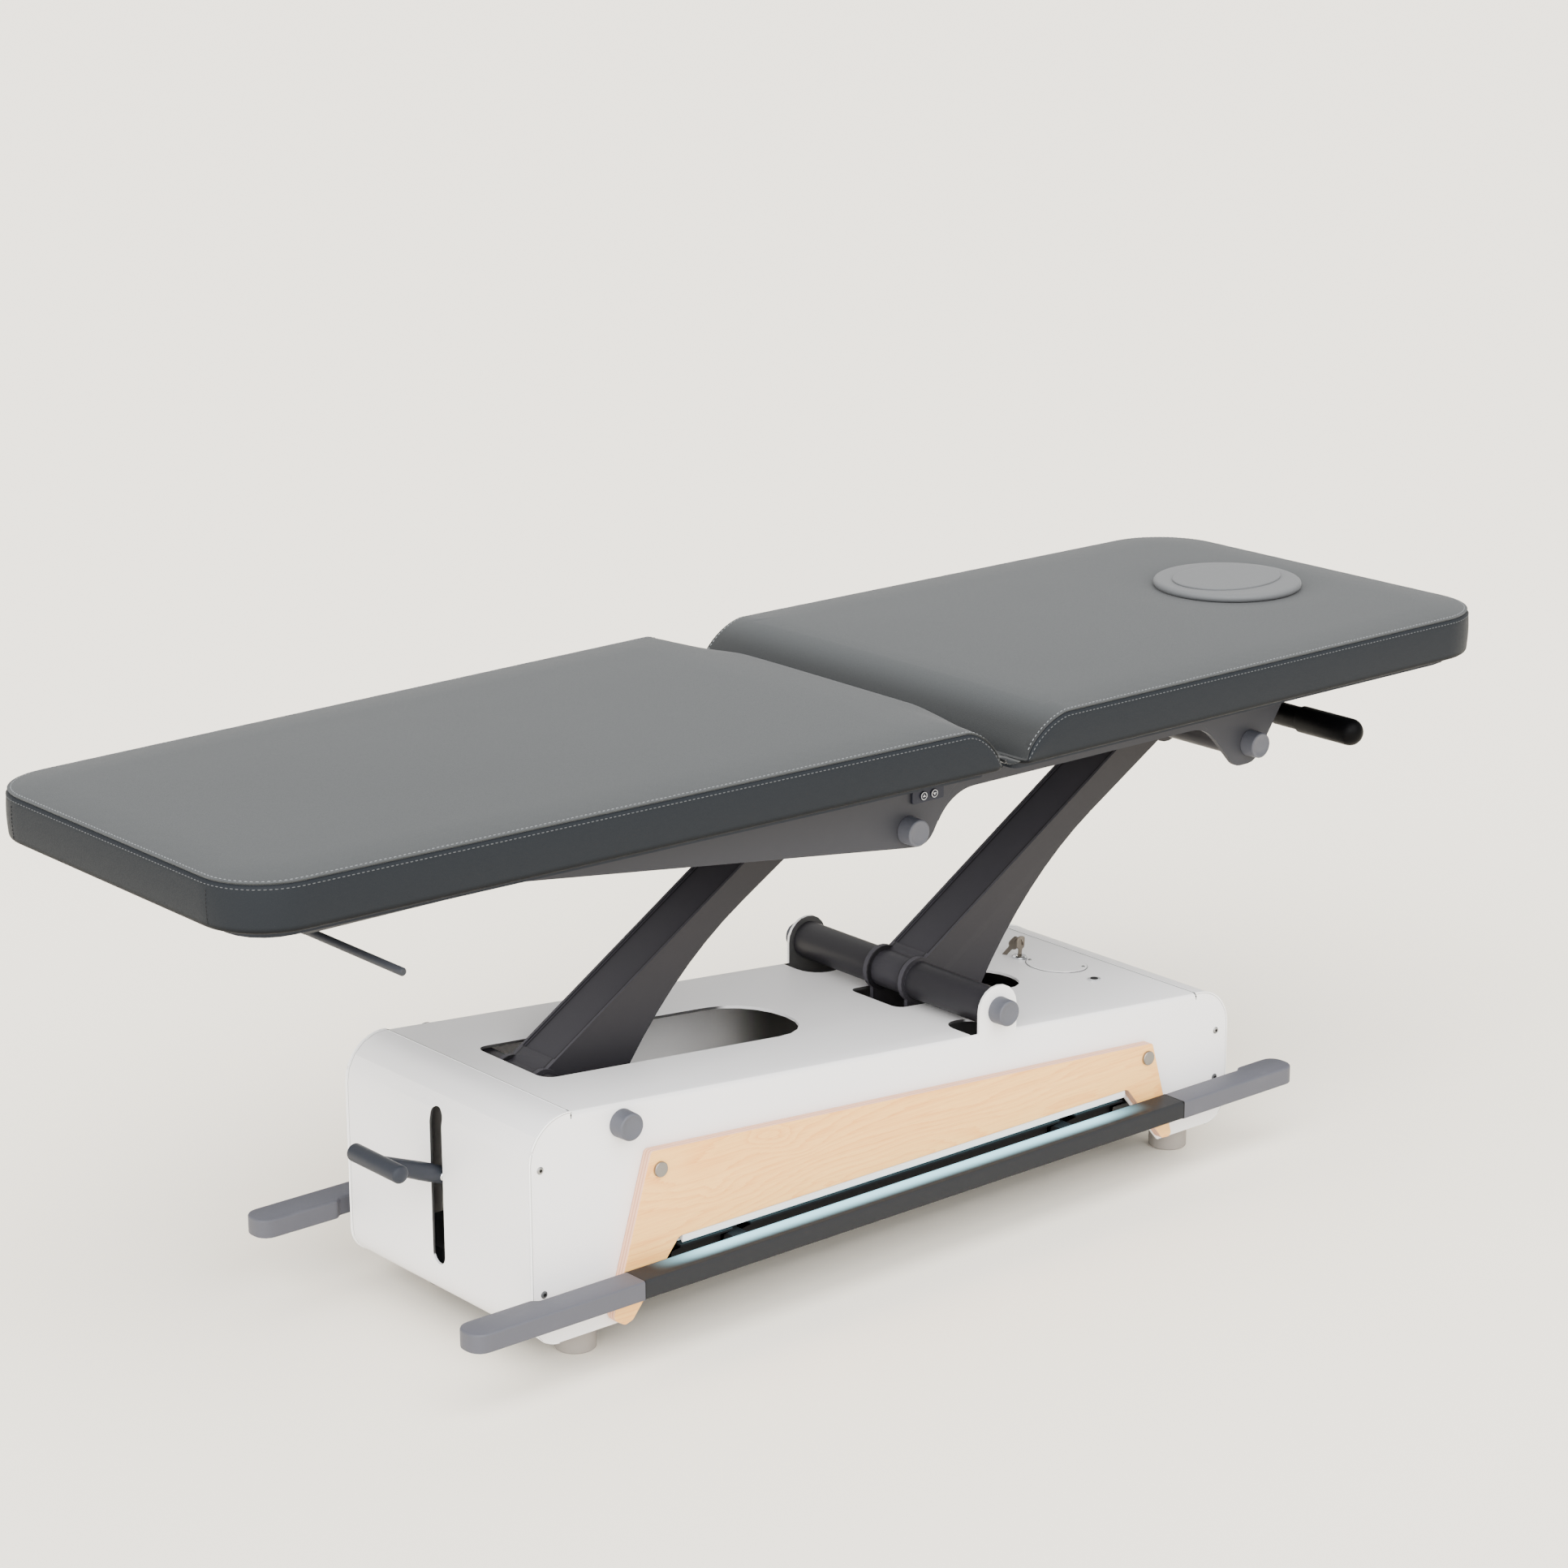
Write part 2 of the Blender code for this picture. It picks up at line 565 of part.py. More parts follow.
def make_housing():
    """Bent top-and-side cover, the two end covers and what is let into them."""
    rings = []
    for step in range(4):
        angle = math.pi / 2 * step / 3
        rings.append((BASE_SIDE - BEND * (1 - math.cos(angle)), BEND * (1 - math.sin(angle))))
    stack = [(-y, drop) for y, drop in rings] + [(y, drop) for y, drop in reversed(rings)]
    shell = loft([cover_ring(y, drop) for y, drop in stack])
    bmesh.ops.remove_doubles(shell, verts=shell.verts, dist=0.00001)
    bmesh.ops.recalc_face_normals(shell, faces=shell.faces)
    cover = piece("base_cover", shell, "housing_paint", "base")
    seam_foot = BASE_FOOT + END_COVER
    seam_head = BASE_HEAD - END_COVER
    far = 1.0
    inner = [(BASE_FOOT - far, -far), (BASE_HEAD + far, -far), (BASE_HEAD + far, far),
             (seam_head, far), (seam_head, base_top(seam_head) - SHEET),
             (seam_foot, base_top(seam_foot) - SHEET), (seam_foot, far), (BASE_FOOT - far, far)]
    cut(cover, prism(inner, "Y", -BASE_INSIDE, BASE_INSIDE))
    ear_low = base_top(PIVOT_B.x) - 2 * BEND
    ear_top = PIVOT_B.z + EAR_RADIUS
    for side, sign in SIDES:
        tab = fillet([(PIVOT_B.x - EAR_RADIUS, ear_low), (PIVOT_B.x + EAR_RADIUS, ear_low),
                      (PIVOT_B.x + EAR_RADIUS, ear_top, EAR_RADIUS * 0.98),
                      (PIVOT_B.x - EAR_RADIUS, ear_top, EAR_RADIUS * 0.98)])
        add(cover, prism(tab, "Y", *between(sign, BASE_INSIDE, BASE_SIDE)))
    low, high = base_top(BASE_HEAD) - 0.05, base_top(BASE_FOOT) + 0.05
    half = FOOT_ARM_WELL_WIDTH / 2
    wells = [prism(stadium(FOOT_ARM_WELL, (-half, half), 0.018, half * 0.98), "Z", low, high)]
    half = HEAD_ARM_WELL_WIDTH / 2
    wells.append(prism(stadium(HEAD_ARM_WELL, (-half, half), 0.014, half * 0.98), "Z", low, high))
    notch_x = (PIVOT_B.x - EAR_RADIUS * 1.35, PIVOT_B.x + EAR_RADIUS * 0.6)
    for side, sign in SIDES:
        inside = sign * (BASE_INSIDE - EAR_NOTCH)
        outside = sign * BASE_INSIDE
        notch = fillet([(notch_x[0], outside), (notch_x[0], inside, 0.028),
                        (notch_x[1], inside, 0.028), (notch_x[1], outside)])
        wells.append(prism(notch, "Z", low, high))
    place_key = top_matrix(*KEY_XY)
    wells.append(moved(rod(KEY_BARREL + SEAT, -0.03, 0.03, (0, 0, 0), "Z"), place_key))
    cut(cover, *wells)
    bores = []
    for pivot in (PIVOT_A, PIVOT_B):
        bores.append(rod(CAP_SHANK + RUNNING, -0.3, 0.3, (pivot.x, 0, pivot.z), "Y"))
    cut(cover, *bores)
    ceiling = BAR_LOW + BAR_HEIGHT + 0.008
    arch = fillet([(BASE_OFFSET - SIDE_ARCH_FOOT[0], 0.0), (BASE_OFFSET + SIDE_ARCH_HEAD[0], 0.0),
                   (BASE_OFFSET + SIDE_ARCH_HEAD[1], ceiling, 0.008),
                   (BASE_OFFSET - SIDE_ARCH_FOOT[1], ceiling, 0.008)])
    cut(cover, prism(arch, "Y", -0.3, 0.3))

    half = BASE_INSIDE - SEAT
    for name, end, inward in (("end_cover_foot", BASE_FOOT, 1.0), ("end_cover_head", BASE_HEAD, -1.0)):
        seam = end + inward * (END_COVER - SEAT)
        lip = end + inward * (BOTTOM_CORNER + ROOM)
        skin = end + inward * SHEET
        low = BASE_CLEARANCE
        strip = fillet([(seam, base_top(seam)), (end, base_top(end), TOP_CORNER),
                        (end, low, BOTTOM_CORNER), (lip, low), (lip, low + SHEET),
                        (skin, low + SHEET, BOTTOM_CORNER - SHEET),
                        (skin, base_top(skin) - SHEET, TOP_CORNER - SHEET),
                        (seam, base_top(seam) - SHEET)])
        made = piece(name, prism(strip, "Y", -half, half), "housing_paint", "base")
        if inward > 0:
            wide = LEVER_SLOT_WIDTH / 2
            way = fillet([(-wide, LEVER_SLOT_LOW, wide * 0.98), (wide, LEVER_SLOT_LOW, wide * 0.98),
                          (wide, LEVER_SLOT_HIGH, wide * 0.98), (-wide, LEVER_SLOT_HIGH, wide * 0.98)])
            cut(made, prism(way, "X", end - 0.02, end + 0.02))


def top_matrix(x, y):
    """Placing matrix of a fitting on the sloping top of the base."""
    return Matrix.Translation((x, y, base_top(x))) @ Matrix.Rotation(TOP_TILT, 4, "Y")


def make_fittings():
    """Key switch and key, service disc, socket and control box."""
    bezel = turned([(0.0, -KEY_BARREL_DEPTH), (KEY_BARREL, -KEY_BARREL_DEPTH), (KEY_BARREL, SEAT),
                    (KEY_BEZEL, SEAT), (KEY_BEZEL, 0.003), (KEY_BEZEL - 0.002, 0.0045),
                    (0.0, 0.0045)], (0, 0, 0), "Z", 20)
    switch = piece("key_switch", moved(bezel, top_matrix(*KEY_XY)), "chrome", "base")
    around = rod(KEY_BLADE / 2 + SEAT, -0.012, 0.02, (0, 0, 0), "Z", 20)
    cut(switch, moved(around, top_matrix(*KEY_XY)))
    bow = turned([(0.0035, -KEY_THICK / 2), (KEY_BOW, -KEY_THICK / 2), (KEY_BOW, KEY_THICK / 2),
                  (0.0035, KEY_THICK / 2)], (0, 0, KEY_RISE), "Y", 18, closed=True)
    key = piece("key", moved(bow, top_matrix(*KEY_XY)), "key_nickel", "key")
    blade = box((-KEY_BLADE / 2 + 0.0006, KEY_BLADE / 2 - 0.0006),
                (-KEY_THICK / 2 + 0.0001, KEY_THICK / 2 - 0.0001), (-0.010, KEY_RISE - KEY_BOW + 0.003))
    add(key, moved(blade, top_matrix(*KEY_XY)))
    disc = turned([(0.0, SEAT), (DISC_RADIUS, SEAT), (DISC_RADIUS, DISC_THICK - 0.0005),
                   (DISC_RADIUS - 0.0008, DISC_THICK), (0.0, DISC_THICK)], (0, 0, 0), "Z", 32)
    piece("service_disc", moved(disc, top_matrix(*DISC_XY)), "housing_paint", "base")
    long, wide = SOCKET_SIZE
    oval = stadium((-long / 2, long / 2), (-wide / 2, wide / 2), wide * 0.49, wide * 0.49)
    socket = piece("handset_socket",
                   moved(prism(oval, "Z", SEAT, SOCKET_HEIGHT), top_matrix(*SOCKET_XY)), "chrome", "base")
    hole = stadium((-long * 0.32, long * 0.32), (-wide * 0.27, wide * 0.27), wide * 0.26, wide * 0.26)
    cut(socket, moved(prism(hole, "Z", SOCKET_HEIGHT * 0.5, 0.02), top_matrix(*SOCKET_XY)))
    case = stadium(BOX_X, BOX_Y, 0.008, 0.008)
    piece("control_box", prism(case, "Z", RAIL_TOP + SEAT, RAIL_TOP + BOX_HEIGHT), "grey_plastic", "base")


def make_base_frame():
    """Welded ladder frame with the brackets, shafts and guide pins that stand on it."""
    ladder = box((FRAME_START, FRAME_STOP), (-RAIL_OUTER, RAIL_OUTER), (RAIL_LOW, RAIL_TOP))
    frame = piece("base_frame", ladder, "frame_paint", "base")
    edges = [FRAME_START + END_BAR]
    for low, high in CROSS_BARS:
        edges += [low, high]
    edges.append(FRAME_STOP - END_BAR)
    windows = []
    for low, high in zip(edges[::2], edges[1::2]):
        windows.append(box((low, high), (-RAIL_INNER, RAIL_INNER), (RAIL_LOW - 0.01, RAIL_TOP + 0.01)))
    cut(frame, *windows)
    foot_in = RAIL_TOP - 0.010
    for side, sign in SIDES:
        lugs = []
        for way in (-1.0, 1.0):
            middle = BASE_OFFSET + way * BAR_LUG_X
            outline = fillet([(sign * (RAIL_OUTER - 0.012), RAIL_LOW + 0.012),
                              (sign * (BAR_AXIS_Y + 0.004), RAIL_LOW + 0.020),
                              (sign * (BAR_AXIS_Y + 0.010), BAR_AXIS_Z + 0.010, 0.008),
                              (sign * (RAIL_OUTER - 0.012), BAR_AXIS_Z + 0.010, 0.008)])
            lugs.append(prism(outline, "X", middle - 0.008, middle + 0.008))
        reach = BAR_LUG_X + 0.006
        shaft = rod(BAR_SHAFT, BASE_OFFSET - reach, BASE_OFFSET + reach,
                    (0, sign * BAR_AXIS_Y, BAR_AXIS_Z), "X")
        add(frame, *lugs, shaft)
    tread_x, tread_z = TREAD_PIVOT
    for middle, pivot_z, inner, thick in ((ACTUATOR_REAR, ACTUATOR_Z, 0.020, 0.008),
                                          (tread_x, tread_z, TREAD_HUB + 0.0015, 0.006)):
        for side, sign in SIDES:
            plate = fillet([(middle - 0.020, foot_in), (middle + 0.020, foot_in),
                            (middle + 0.013, pivot_z + 0.013, 0.012),
                            (middle - 0.013, pivot_z + 0.013, 0.012)])
            add(frame, prism(plate, "Y", *between(sign, inner, inner + thick)))
        add(frame, rod(PIVOT_PIN, -inner - thick / 2, inner + thick / 2, (middle, 0, pivot_z), "Y"))
    for guide in GUIDE_X:
        add(frame, rod(GUIDE_PIN, foot_in, CARRIAGE_TOP + 0.012, (guide, 0, 0), "Z", edge=0.001))
    for end, pad_x in zip(("foot", "head"), FOOT_PAD_X):
        for side, sign in SIDES:
            top = BASE_CLEARANCE - SEAT
            profile = [(0.0, 0.0), (FOOT_PAD - 0.003, 0.0), (FOOT_PAD, 0.003), (FOOT_PAD, top * 0.7),
                       (FOOT_PAD - 0.002, top), (FOOT_STUD, top), (FOOT_STUD, RAIL_LOW - SEAT),
                       (0.0, RAIL_LOW - SEAT)]
            shape = turned(profile, (pad_x, sign * FOOT_PAD_Y, 0.0), "Z", 20)
            piece(f"levelling_foot_{end}_{side}", shape, "foot_rubber", "base")


def make_castors():
    """Carriage that lowers four wheels, its tread lever and the wheels."""
    spine = box((CASTOR_X[0] - 0.040, CASTOR_X[1] + 0.020), (-CARRIAGE_SPINE, CARRIAGE_SPINE),
                (CARRIAGE_LOW, CARRIAGE_TOP))
    carriage = piece("castor_carriage", spine, "frame_paint", "carriage")
    leg_out = CASTOR_Y - CASTOR_WIDTH / 2 - ROOM
    leg_in = leg_out - 0.006
    for middle in CASTOR_X:
        add(carriage, box((middle - 0.015, middle + 0.015), (-leg_out - 0.0002, leg_out + 0.0002),
                          (CARRIAGE_LOW + 0.0004, CARRIAGE_TOP - 0.0004)))
        for side, sign in SIDES:
            leg = fillet([(middle - 0.012, CARRIAGE_LOW + 0.010), (middle - 0.012, CASTOR_Z - 0.010, 0.009),
                          (middle + 0.012, CASTOR_Z - 0.010, 0.009), (middle + 0.012, CARRIAGE_LOW + 0.010)])
            stub = between(sign, leg_in + 0.002, CASTOR_Y + CASTOR_WIDTH / 2 + 0.003)
            add(carriage, prism(leg, "Y", *between(sign, leg_in, leg_out)),
                rod(AXLE_STUB, *stub, (middle, 0, CASTOR_Z), "Y"))
    cut(carriage, *[rod(GUIDE_PIN + RUNNING, 0.0, 0.3, (guide, 0, 0), "Z") for guide in GUIDE_X])
    bore = AXLE_STUB + RUNNING
    half = CASTOR_WIDTH / 2
    profile = [(bore, -half), (bore * 2.2, -half), (CASTOR_RADIUS - 0.004, -half * 0.8),
               (CASTOR_RADIUS, -half * 0.45), (CASTOR_RADIUS, half * 0.45),
               (CASTOR_RADIUS - 0.004, half * 0.8), (bore * 2.2, half), (bore, half)]
    for end, middle in zip(("foot", "head"), CASTOR_X):
        for side, sign in SIDES:
            name = f"wheel_{end}_{side}"
            shape = turned(profile, ORIGINS[name], "Y", 20, closed=True)
            piece("castor_" + name, shape, "wheel_rubber", name)

    pivot = Vector((TREAD_PIVOT[0], 0.0, TREAD_PIVOT[1]))
    bar = Vector((TREAD_BAR[0], 0.0, TREAD_BAR[1]))
    run = bar - pivot
    aim = Matrix.Translation(pivot) @ run.to_track_quat("Z", "Y").to_matrix().to_4x4()
    stem = moved(rod(TREAD_STEM, TREAD_HUB * 0.6, run.length, (0, 0, 0), "Z"), aim)
    lever = piece("castor_lever", stem, "black_plastic", "tread")
    half = TREAD_BAR_LENGTH / 2
    dome = TREAD_BAR_RADIUS
    grip = [(0.0, -half), (dome * 0.6, -half + dome * 0.2), (dome, -half + dome * 0.9),
            (dome, half - dome * 0.9), (dome * 0.6, half - dome * 0.2), (0.0, half)]
    drop = Vector((pivot.x - 0.045, 0.0, pivot.z - 0.018))
    link = fillet([(drop.x - 0.011, drop.z - 0.012, 0.010), (drop.x + 0.011, drop.z - 0.012, 0.010),
                   (drop.x + 0.009, pivot.z + 0.022), (drop.x - 0.009, pivot.z + 0.026)])
    add(lever, rod(TREAD_HUB, -TREAD_HUB, TREAD_HUB, pivot, "Y"), turned(grip, bar, "Y", 14),
        prism(link, "Y", -0.004, 0.004))
    cut(lever, rod(PIVOT_PIN + RUNNING, -0.05, 0.05, pivot, "Y"), rod(0.004, -0.05, 0.05, drop, "Y"))


def make_side_panels():
    """Wooden side panels, their light bars and the two foot bars."""
    for side, sign in SIDES:
        cut_z = PANEL_CUT_Z
        outline = fillet([(-0.396, base_top(-0.396) - 0.064, 0.006), (-0.4575, 0.058, 0.010),
                          (-0.4390, 0.0465, 0.006), (-0.4270, 0.0505, 0.004), (-0.3540, cut_z, 0.010),
                          (0.4150, cut_z, 0.010), (0.4830, 0.0530, 0.004), (0.4960, 0.0520, 0.006),
                          (0.5010, 0.0560, 0.005), (0.4610, base_top(0.461) - 0.053, 0.006)])
        panel = prism(outline, "Y", *between(sign, BASE_SIDE + SEAT, PANEL_OUT))
        piece("wood_panel_" + side, panel, "light_wood", "base")
        inner = BASE_SIDE + SEAT
        strip = fillet([(sign * inner, cut_z - SEAT), (sign * (inner + LIGHT_DEPTH), cut_z - SEAT, 0.001),
                        (sign * (inner + LIGHT_DEPTH), cut_z - SEAT - LIGHT_HEIGHT, 0.0025),
                        (sign * inner, cut_z - SEAT - LIGHT_HEIGHT)])
        piece("light_bar_" + side, prism(strip, "X", *LIGHT_SPAN), "light_bar", "base")

        group = "foot_bar_" + side
        outer = BAR_INNER + BAR_WIDTH
        high = BAR_LOW + BAR_HEIGHT
        section = fillet([(sign * BAR_INNER, BAR_LOW, 0.002), (sign * outer, BAR_LOW, 0.003),
                          (sign * outer, high, 0.0045), (sign * BAR_INNER, high, 0.002)])
        bar = piece(group, prism(section, "X", *BAR_SPAN), "bar_plastic", group)
        bores = []
        for way in (-1.0, 1.0):
            middle = BASE_OFFSET + way * BAR_ARM_X
            arm = fillet([(sign * (BAR_INNER + 0.004), BAR_AXIS_Z - 0.007),
                          (sign * (BAR_INNER + 0.004), BAR_AXIS_Z + 0.007),
                          (sign * BAR_AXIS_Y, BAR_AXIS_Z + 0.007), (sign * BAR_AXIS_Y, BAR_AXIS_Z - 0.007)])
            sleeve = rod(BAR_SLEEVE, middle - BAR_ARM / 2 - 0.004, middle + BAR_ARM / 2 + 0.004,
                         (0, sign * BAR_AXIS_Y, BAR_AXIS_Z), "X")
            add(bar, prism(arm, "X", middle - BAR_ARM / 2, middle + BAR_ARM / 2), sleeve)
            bores.append(rod(BAR_SHAFT + RUNNING, middle - 0.03, middle + 0.03,
                             (0, sign * BAR_AXIS_Y, BAR_AXIS_Z), "X"))
        cut(bar, *bores)
        paddle = outer - BAR_PADDLE
        for end, start, tip, base_end in (("foot", BAR_SPAN[0] - SEAT, BAR_TIPS[0], BASE_FOOT),
                                          ("head", BAR_SPAN[1] + SEAT, BAR_TIPS[1], BASE_HEAD)):
            way = 1.0 if tip > start else -1.0
            plan = fillet([(start, sign * BAR_INNER), (start, sign * outer),
                           (tip, sign * outer, BAR_TIP_RADIUS), (tip, sign * paddle, BAR_TIP_RADIUS),
                           (base_end + way * 0.012, sign * paddle, 0.006),
                           (base_end + way * 0.004, sign * BAR_INNER, 0.006)])
            shape = prism(plan, "Z", BAR_LOW, high)
            rim = [edge for edge in shape.edges
                   if all(abs(vert.co.z - high) < 1e-6 for vert in edge.verts)
                   and any(abs(vert.co.x - start) > 1e-6 for vert in edge.verts)]
            bmesh.ops.bevel(shape, geom=rim, offset=0.0025, segments=2, profile=0.5, affect="EDGES")
            piece(f"foot_bar_end_{end}_{side}", shape, "tip_plastic", group)


def arm_top(along):
    """Top edge of an arm above its pivot line."""
    return ARM_TOP_LOW + (ARM_TOP_HIGH - ARM_TOP_LOW) * along / ARM_LENGTH


def arm_outline(crank):
    """Side outline of an arm, along and across its pivot line, with a curved foot."""
    outline = [(-0.006, arm_top(-0.006)), (ARM_LENGTH, arm_top(ARM_LENGTH)), (ARM_LENGTH, -ARM_UNDER)]
    for step in range(9):
        along = ARM_SWEEP_START - (ARM_SWEEP_START - 0.080) * step / 8
        outline.append((along, -ARM_UNDER - (ARM_SWEEP_START - along) ** 2 / (2 * ARM_SWEEP)))
    outline.append((0.062, -0.0940, 0.010))
    if crank:
        outline += [(-0.038, -0.0920, 0.010), (-0.066, -0.0780, 0.012), (-0.024, -0.0020)]
    else:
        outline.append((-0.024, -0.0120))
    return fillet(outline)


def make_arm(name, pivot, top_pivot, tube, ring, crank):
    """Folded arm: side plates proud of the top web, open underneath, with its two cross tubes."""
    aim = Matrix.Translation(pivot) @ Matrix.Rotation(-ARM_ANGLE, 4, "Y")
    half = ARM_WIDTH / 2
    arm = piece(name, moved(prism(arm_outline(crank), "Y", -half, half), aim), "arm_paint", name)
    inside = half - ARM_PLATE
    stop = ARM_LENGTH - 0.045
    depth = ARM_RECESS + ARM_WEB
    hollow = [(-0.150, arm_top(-0.150) - depth), (-0.150, -0.200), (stop, -0.200),
              (stop, arm_top(stop) - depth)]
    groove = [(COLLAR + 0.003, arm_top(COLLAR) - ARM_RECESS), (stop, arm_top(stop) - ARM_RECESS),
              (stop, 0.100), (COLLAR + 0.003, 0.100)]
    cut(arm, moved(prism(hollow, "Y", -inside, inside), aim))
    cut(arm, moved(prism(groove, "Y", -inside - 0.002, inside + 0.002), aim))
    base_half = BASE_INSIDE - SEAT
    table_half = PLATE_INSIDE - SEAT
    add(arm, rod(tube, -base_half, base_half, (pivot.x, 0, pivot.z), "Y", 20),
        rod(TABLE_TUBE, -table_half, table_half, (top_pivot.x, 0, top_pivot.z), "Y", 20))
    outer = half + 0.0012
    for centre, radius in ((pivot, ring), (top_pivot, COLLAR)):
        for side, sign in SIDES:
            span = between(sign, outer - COLLAR_LENGTH, outer)
            add(arm, rod(radius, *span, (centre.x, 0, centre.z), "Y", 22))
    if crank:
        pin = (CRANK_PIN_X, 0, pivot.z - CRANK * math.sin(CRANK_LEAD))
        add(arm, rod(CRANK_PIN, -half + 0.002, half - 0.002, pin, "Y"))
    bores = []
    for centre, reach in ((pivot, base_half), (top_pivot, table_half)):
        for side, sign in SIDES:
            span = between(sign, reach - CAP_REACH - ROOM, reach + 0.02)
            bores.append(rod(CAP_SHANK + RUNNING, *span, (centre.x, 0, centre.z), "Y"))
    cut(arm, *bores)


def make_caps():
    """Round caps whose shanks carry the arms at all four pivots."""
    face = BASE_SIDE + SEAT
    for letter, pivot, group in (("a", PIVOT_A, "base"), ("b", PIVOT_B, "base"),
                                 ("c", PIVOT_C, "table"), ("d", PIVOT_D, "table")):
        for side, sign in SIDES:
            end = face + CAP_LENGTH
            reach = (BASE_INSIDE if group == "base" else PLATE_INSIDE) - SEAT - CAP_REACH
            profile = [(0.0, reach), (CAP_SHANK - 0.001, reach), (CAP_SHANK, reach + 0.001),
                       (CAP_SHANK, face), (CAP_RADIUS, face), (CAP_RADIUS - 0.0006, end - 0.0025),
                       (CAP_RADIUS - 0.0025, end - 0.0004), (CAP_RADIUS - 0.0045, end), (0.0, end)]
            shape = turned([(radius, sign * offset) for radius, offset in profile],
                           (pivot.x, 0, pivot.z), "Y", 20)
            piece(f"axle_cap_{letter}_{side}", shape, "cap_plastic", group)


def make_actuator():
    """Lift motor with its push rod; the rod's slotted eye takes the crank pin of the head arm."""
    centre = (0, 0, ACTUATOR_Z)
    start = ACTUATOR_REAR + 0.022
    block = stadium((start, start + 0.075), (-0.034, 0.034), 0.006, 0.006)
    motor = piece("lift_actuator", prism(block, "Z", ACTUATOR_Z - 0.080, ACTUATOR_Z + 0.030),
                  "grey_plastic", "base")
    tab = fillet([(ACTUATOR_REAR - 0.013, ACTUATOR_Z - 0.013, 0.012), (start + 0.004, ACTUATOR_Z - 0.013),
                  (start + 0.004, ACTUATOR_Z + 0.013), (ACTUATOR_REAR - 0.013, ACTUATOR_Z + 0.013, 0.012)])
    add(motor, prism(tab, "Y", -0.020 + SEAT, 0.020 - SEAT),
        rod(ACTUATOR_TUBE, start + 0.060, ACTUATOR_FRONT, centre, "X", 18, 0.002),
        rod(0.029, start + 0.060, start + 0.200, (0, 0, ACTUATOR_Z - 0.052), "X", 18, 0.004))
    cut(motor, rod(ACTUATOR_ROD + RUNNING, start + 0.120, ACTUATOR_FRONT + 0.02, centre, "X"),
        rod(PIVOT_PIN + RUNNING, -0.05, 0.05, (ACTUATOR_REAR, 0, ACTUATOR_Z), "Y"))
    bar = rod(ACTUATOR_ROD, start + 0.175, CRANK_PIN_X - 0.016, centre, "X", 16, 0.001)
    push = piece("actuator_rod", bar, "steel", "actuator")
    tall = PIN_RISE + CRANK_PIN + ROOM
    eye = fillet([(CRANK_PIN_X - 0.022, ACTUATOR_Z - tall - 0.008, 0.010),
                  (CRANK_PIN_X + 0.018, ACTUATOR_Z - tall - 0.008, 0.010),
                  (CRANK_PIN_X + 0.018, ACTUATOR_Z + tall + 0.008, 0.010),
                  (CRANK_PIN_X - 0.022, ACTUATOR_Z + tall + 0.008, 0.010)])
    add(push, prism(eye, "Y", -ACTUATOR_EYE, ACTUATOR_EYE))
    wide = CRANK_PIN + ROOM
    way = fillet([(CRANK_PIN_X - wide, ACTUATOR_Z - tall, wide * 0.98),
                  (CRANK_PIN_X + wide, ACTUATOR_Z - tall, wide * 0.98),
                  (CRANK_PIN_X + wide, ACTUATOR_Z + tall, wide * 0.98),
                  (CRANK_PIN_X - wide, ACTUATOR_Z + tall, wide * 0.98)])
    cut(push, prism(way, "Y", -0.03, 0.03))


def make_side_plates():
    """Side plates of the table with a rounded lobe at each pivot, and the button panel."""
    strip = FRAME_TOP - PLATE_STRIP
    drop = PIVOT_C.z - LOBE_DROP
    outline = fillet([(PIVOT_C.x - PLATE_TAIL, FRAME_TOP),
                      (PIVOT_C.x - 0.010, drop + 0.0055, 0.060), (PIVOT_C.x + 0.034, drop + 0.0005, 0.030),
                      (PIVOT_C.x + 0.078, strip, 0.030), (PIVOT_D.x - 0.094, strip, 0.045),
                      (PIVOT_D.x - 0.026, drop - 0.001, 0.022), (PIVOT_D.x + 0.012, drop - 0.001, 0.026),
                      (PIVOT_D.x + 0.089, FRAME_TOP)])
    for side, sign in SIDES:
        shape = prism(outline, "Y", *between(sign, PLATE_INSIDE, BASE_SIDE))
        plate = piece("side_plate_" + side, shape, "plate_paint", "table")
        bores = [rod(CAP_SHANK + RUNNING, -0.3, 0.3, (pivot.x, 0, pivot.z), "Y")
                 for pivot in (PIVOT_C, PIVOT_D)]
        cut(plate, *bores)
    front = BASE_SIDE + SEAT
    panel = piece("button_panel", prism(stadium(BUTTON_PANEL_X, BUTTON_PANEL_Z, 0.003, 0.003), "Y",
                                        -front - BUTTON_PANEL_THICK, -front), "cap_plastic", "table")
    cut(panel, *[rod(BUTTON_RADIUS + SEAT, -front - 0.02, -front + 0.001, (x, 0, BUTTON_Z), "Y")
                 for x in BUTTON_X])
    outer = -front - BUTTON_PANEL_THICK - BUTTON_PROUD
    inner = -front - BUTTON_TRAVEL - SEAT
    for name, x in zip(("button_up", "button_down"), BUTTON_X):
        profile = [(0.0, inner), (BUTTON_RADIUS, inner), (BUTTON_RADIUS, outer + 0.0007),
                   (BUTTON_RADIUS - 0.0012, outer), (0.0, outer + 0.0003)]
        piece(name, turned(profile, (x, 0, BUTTON_Z), "Y", 18), "tip_plastic", name)


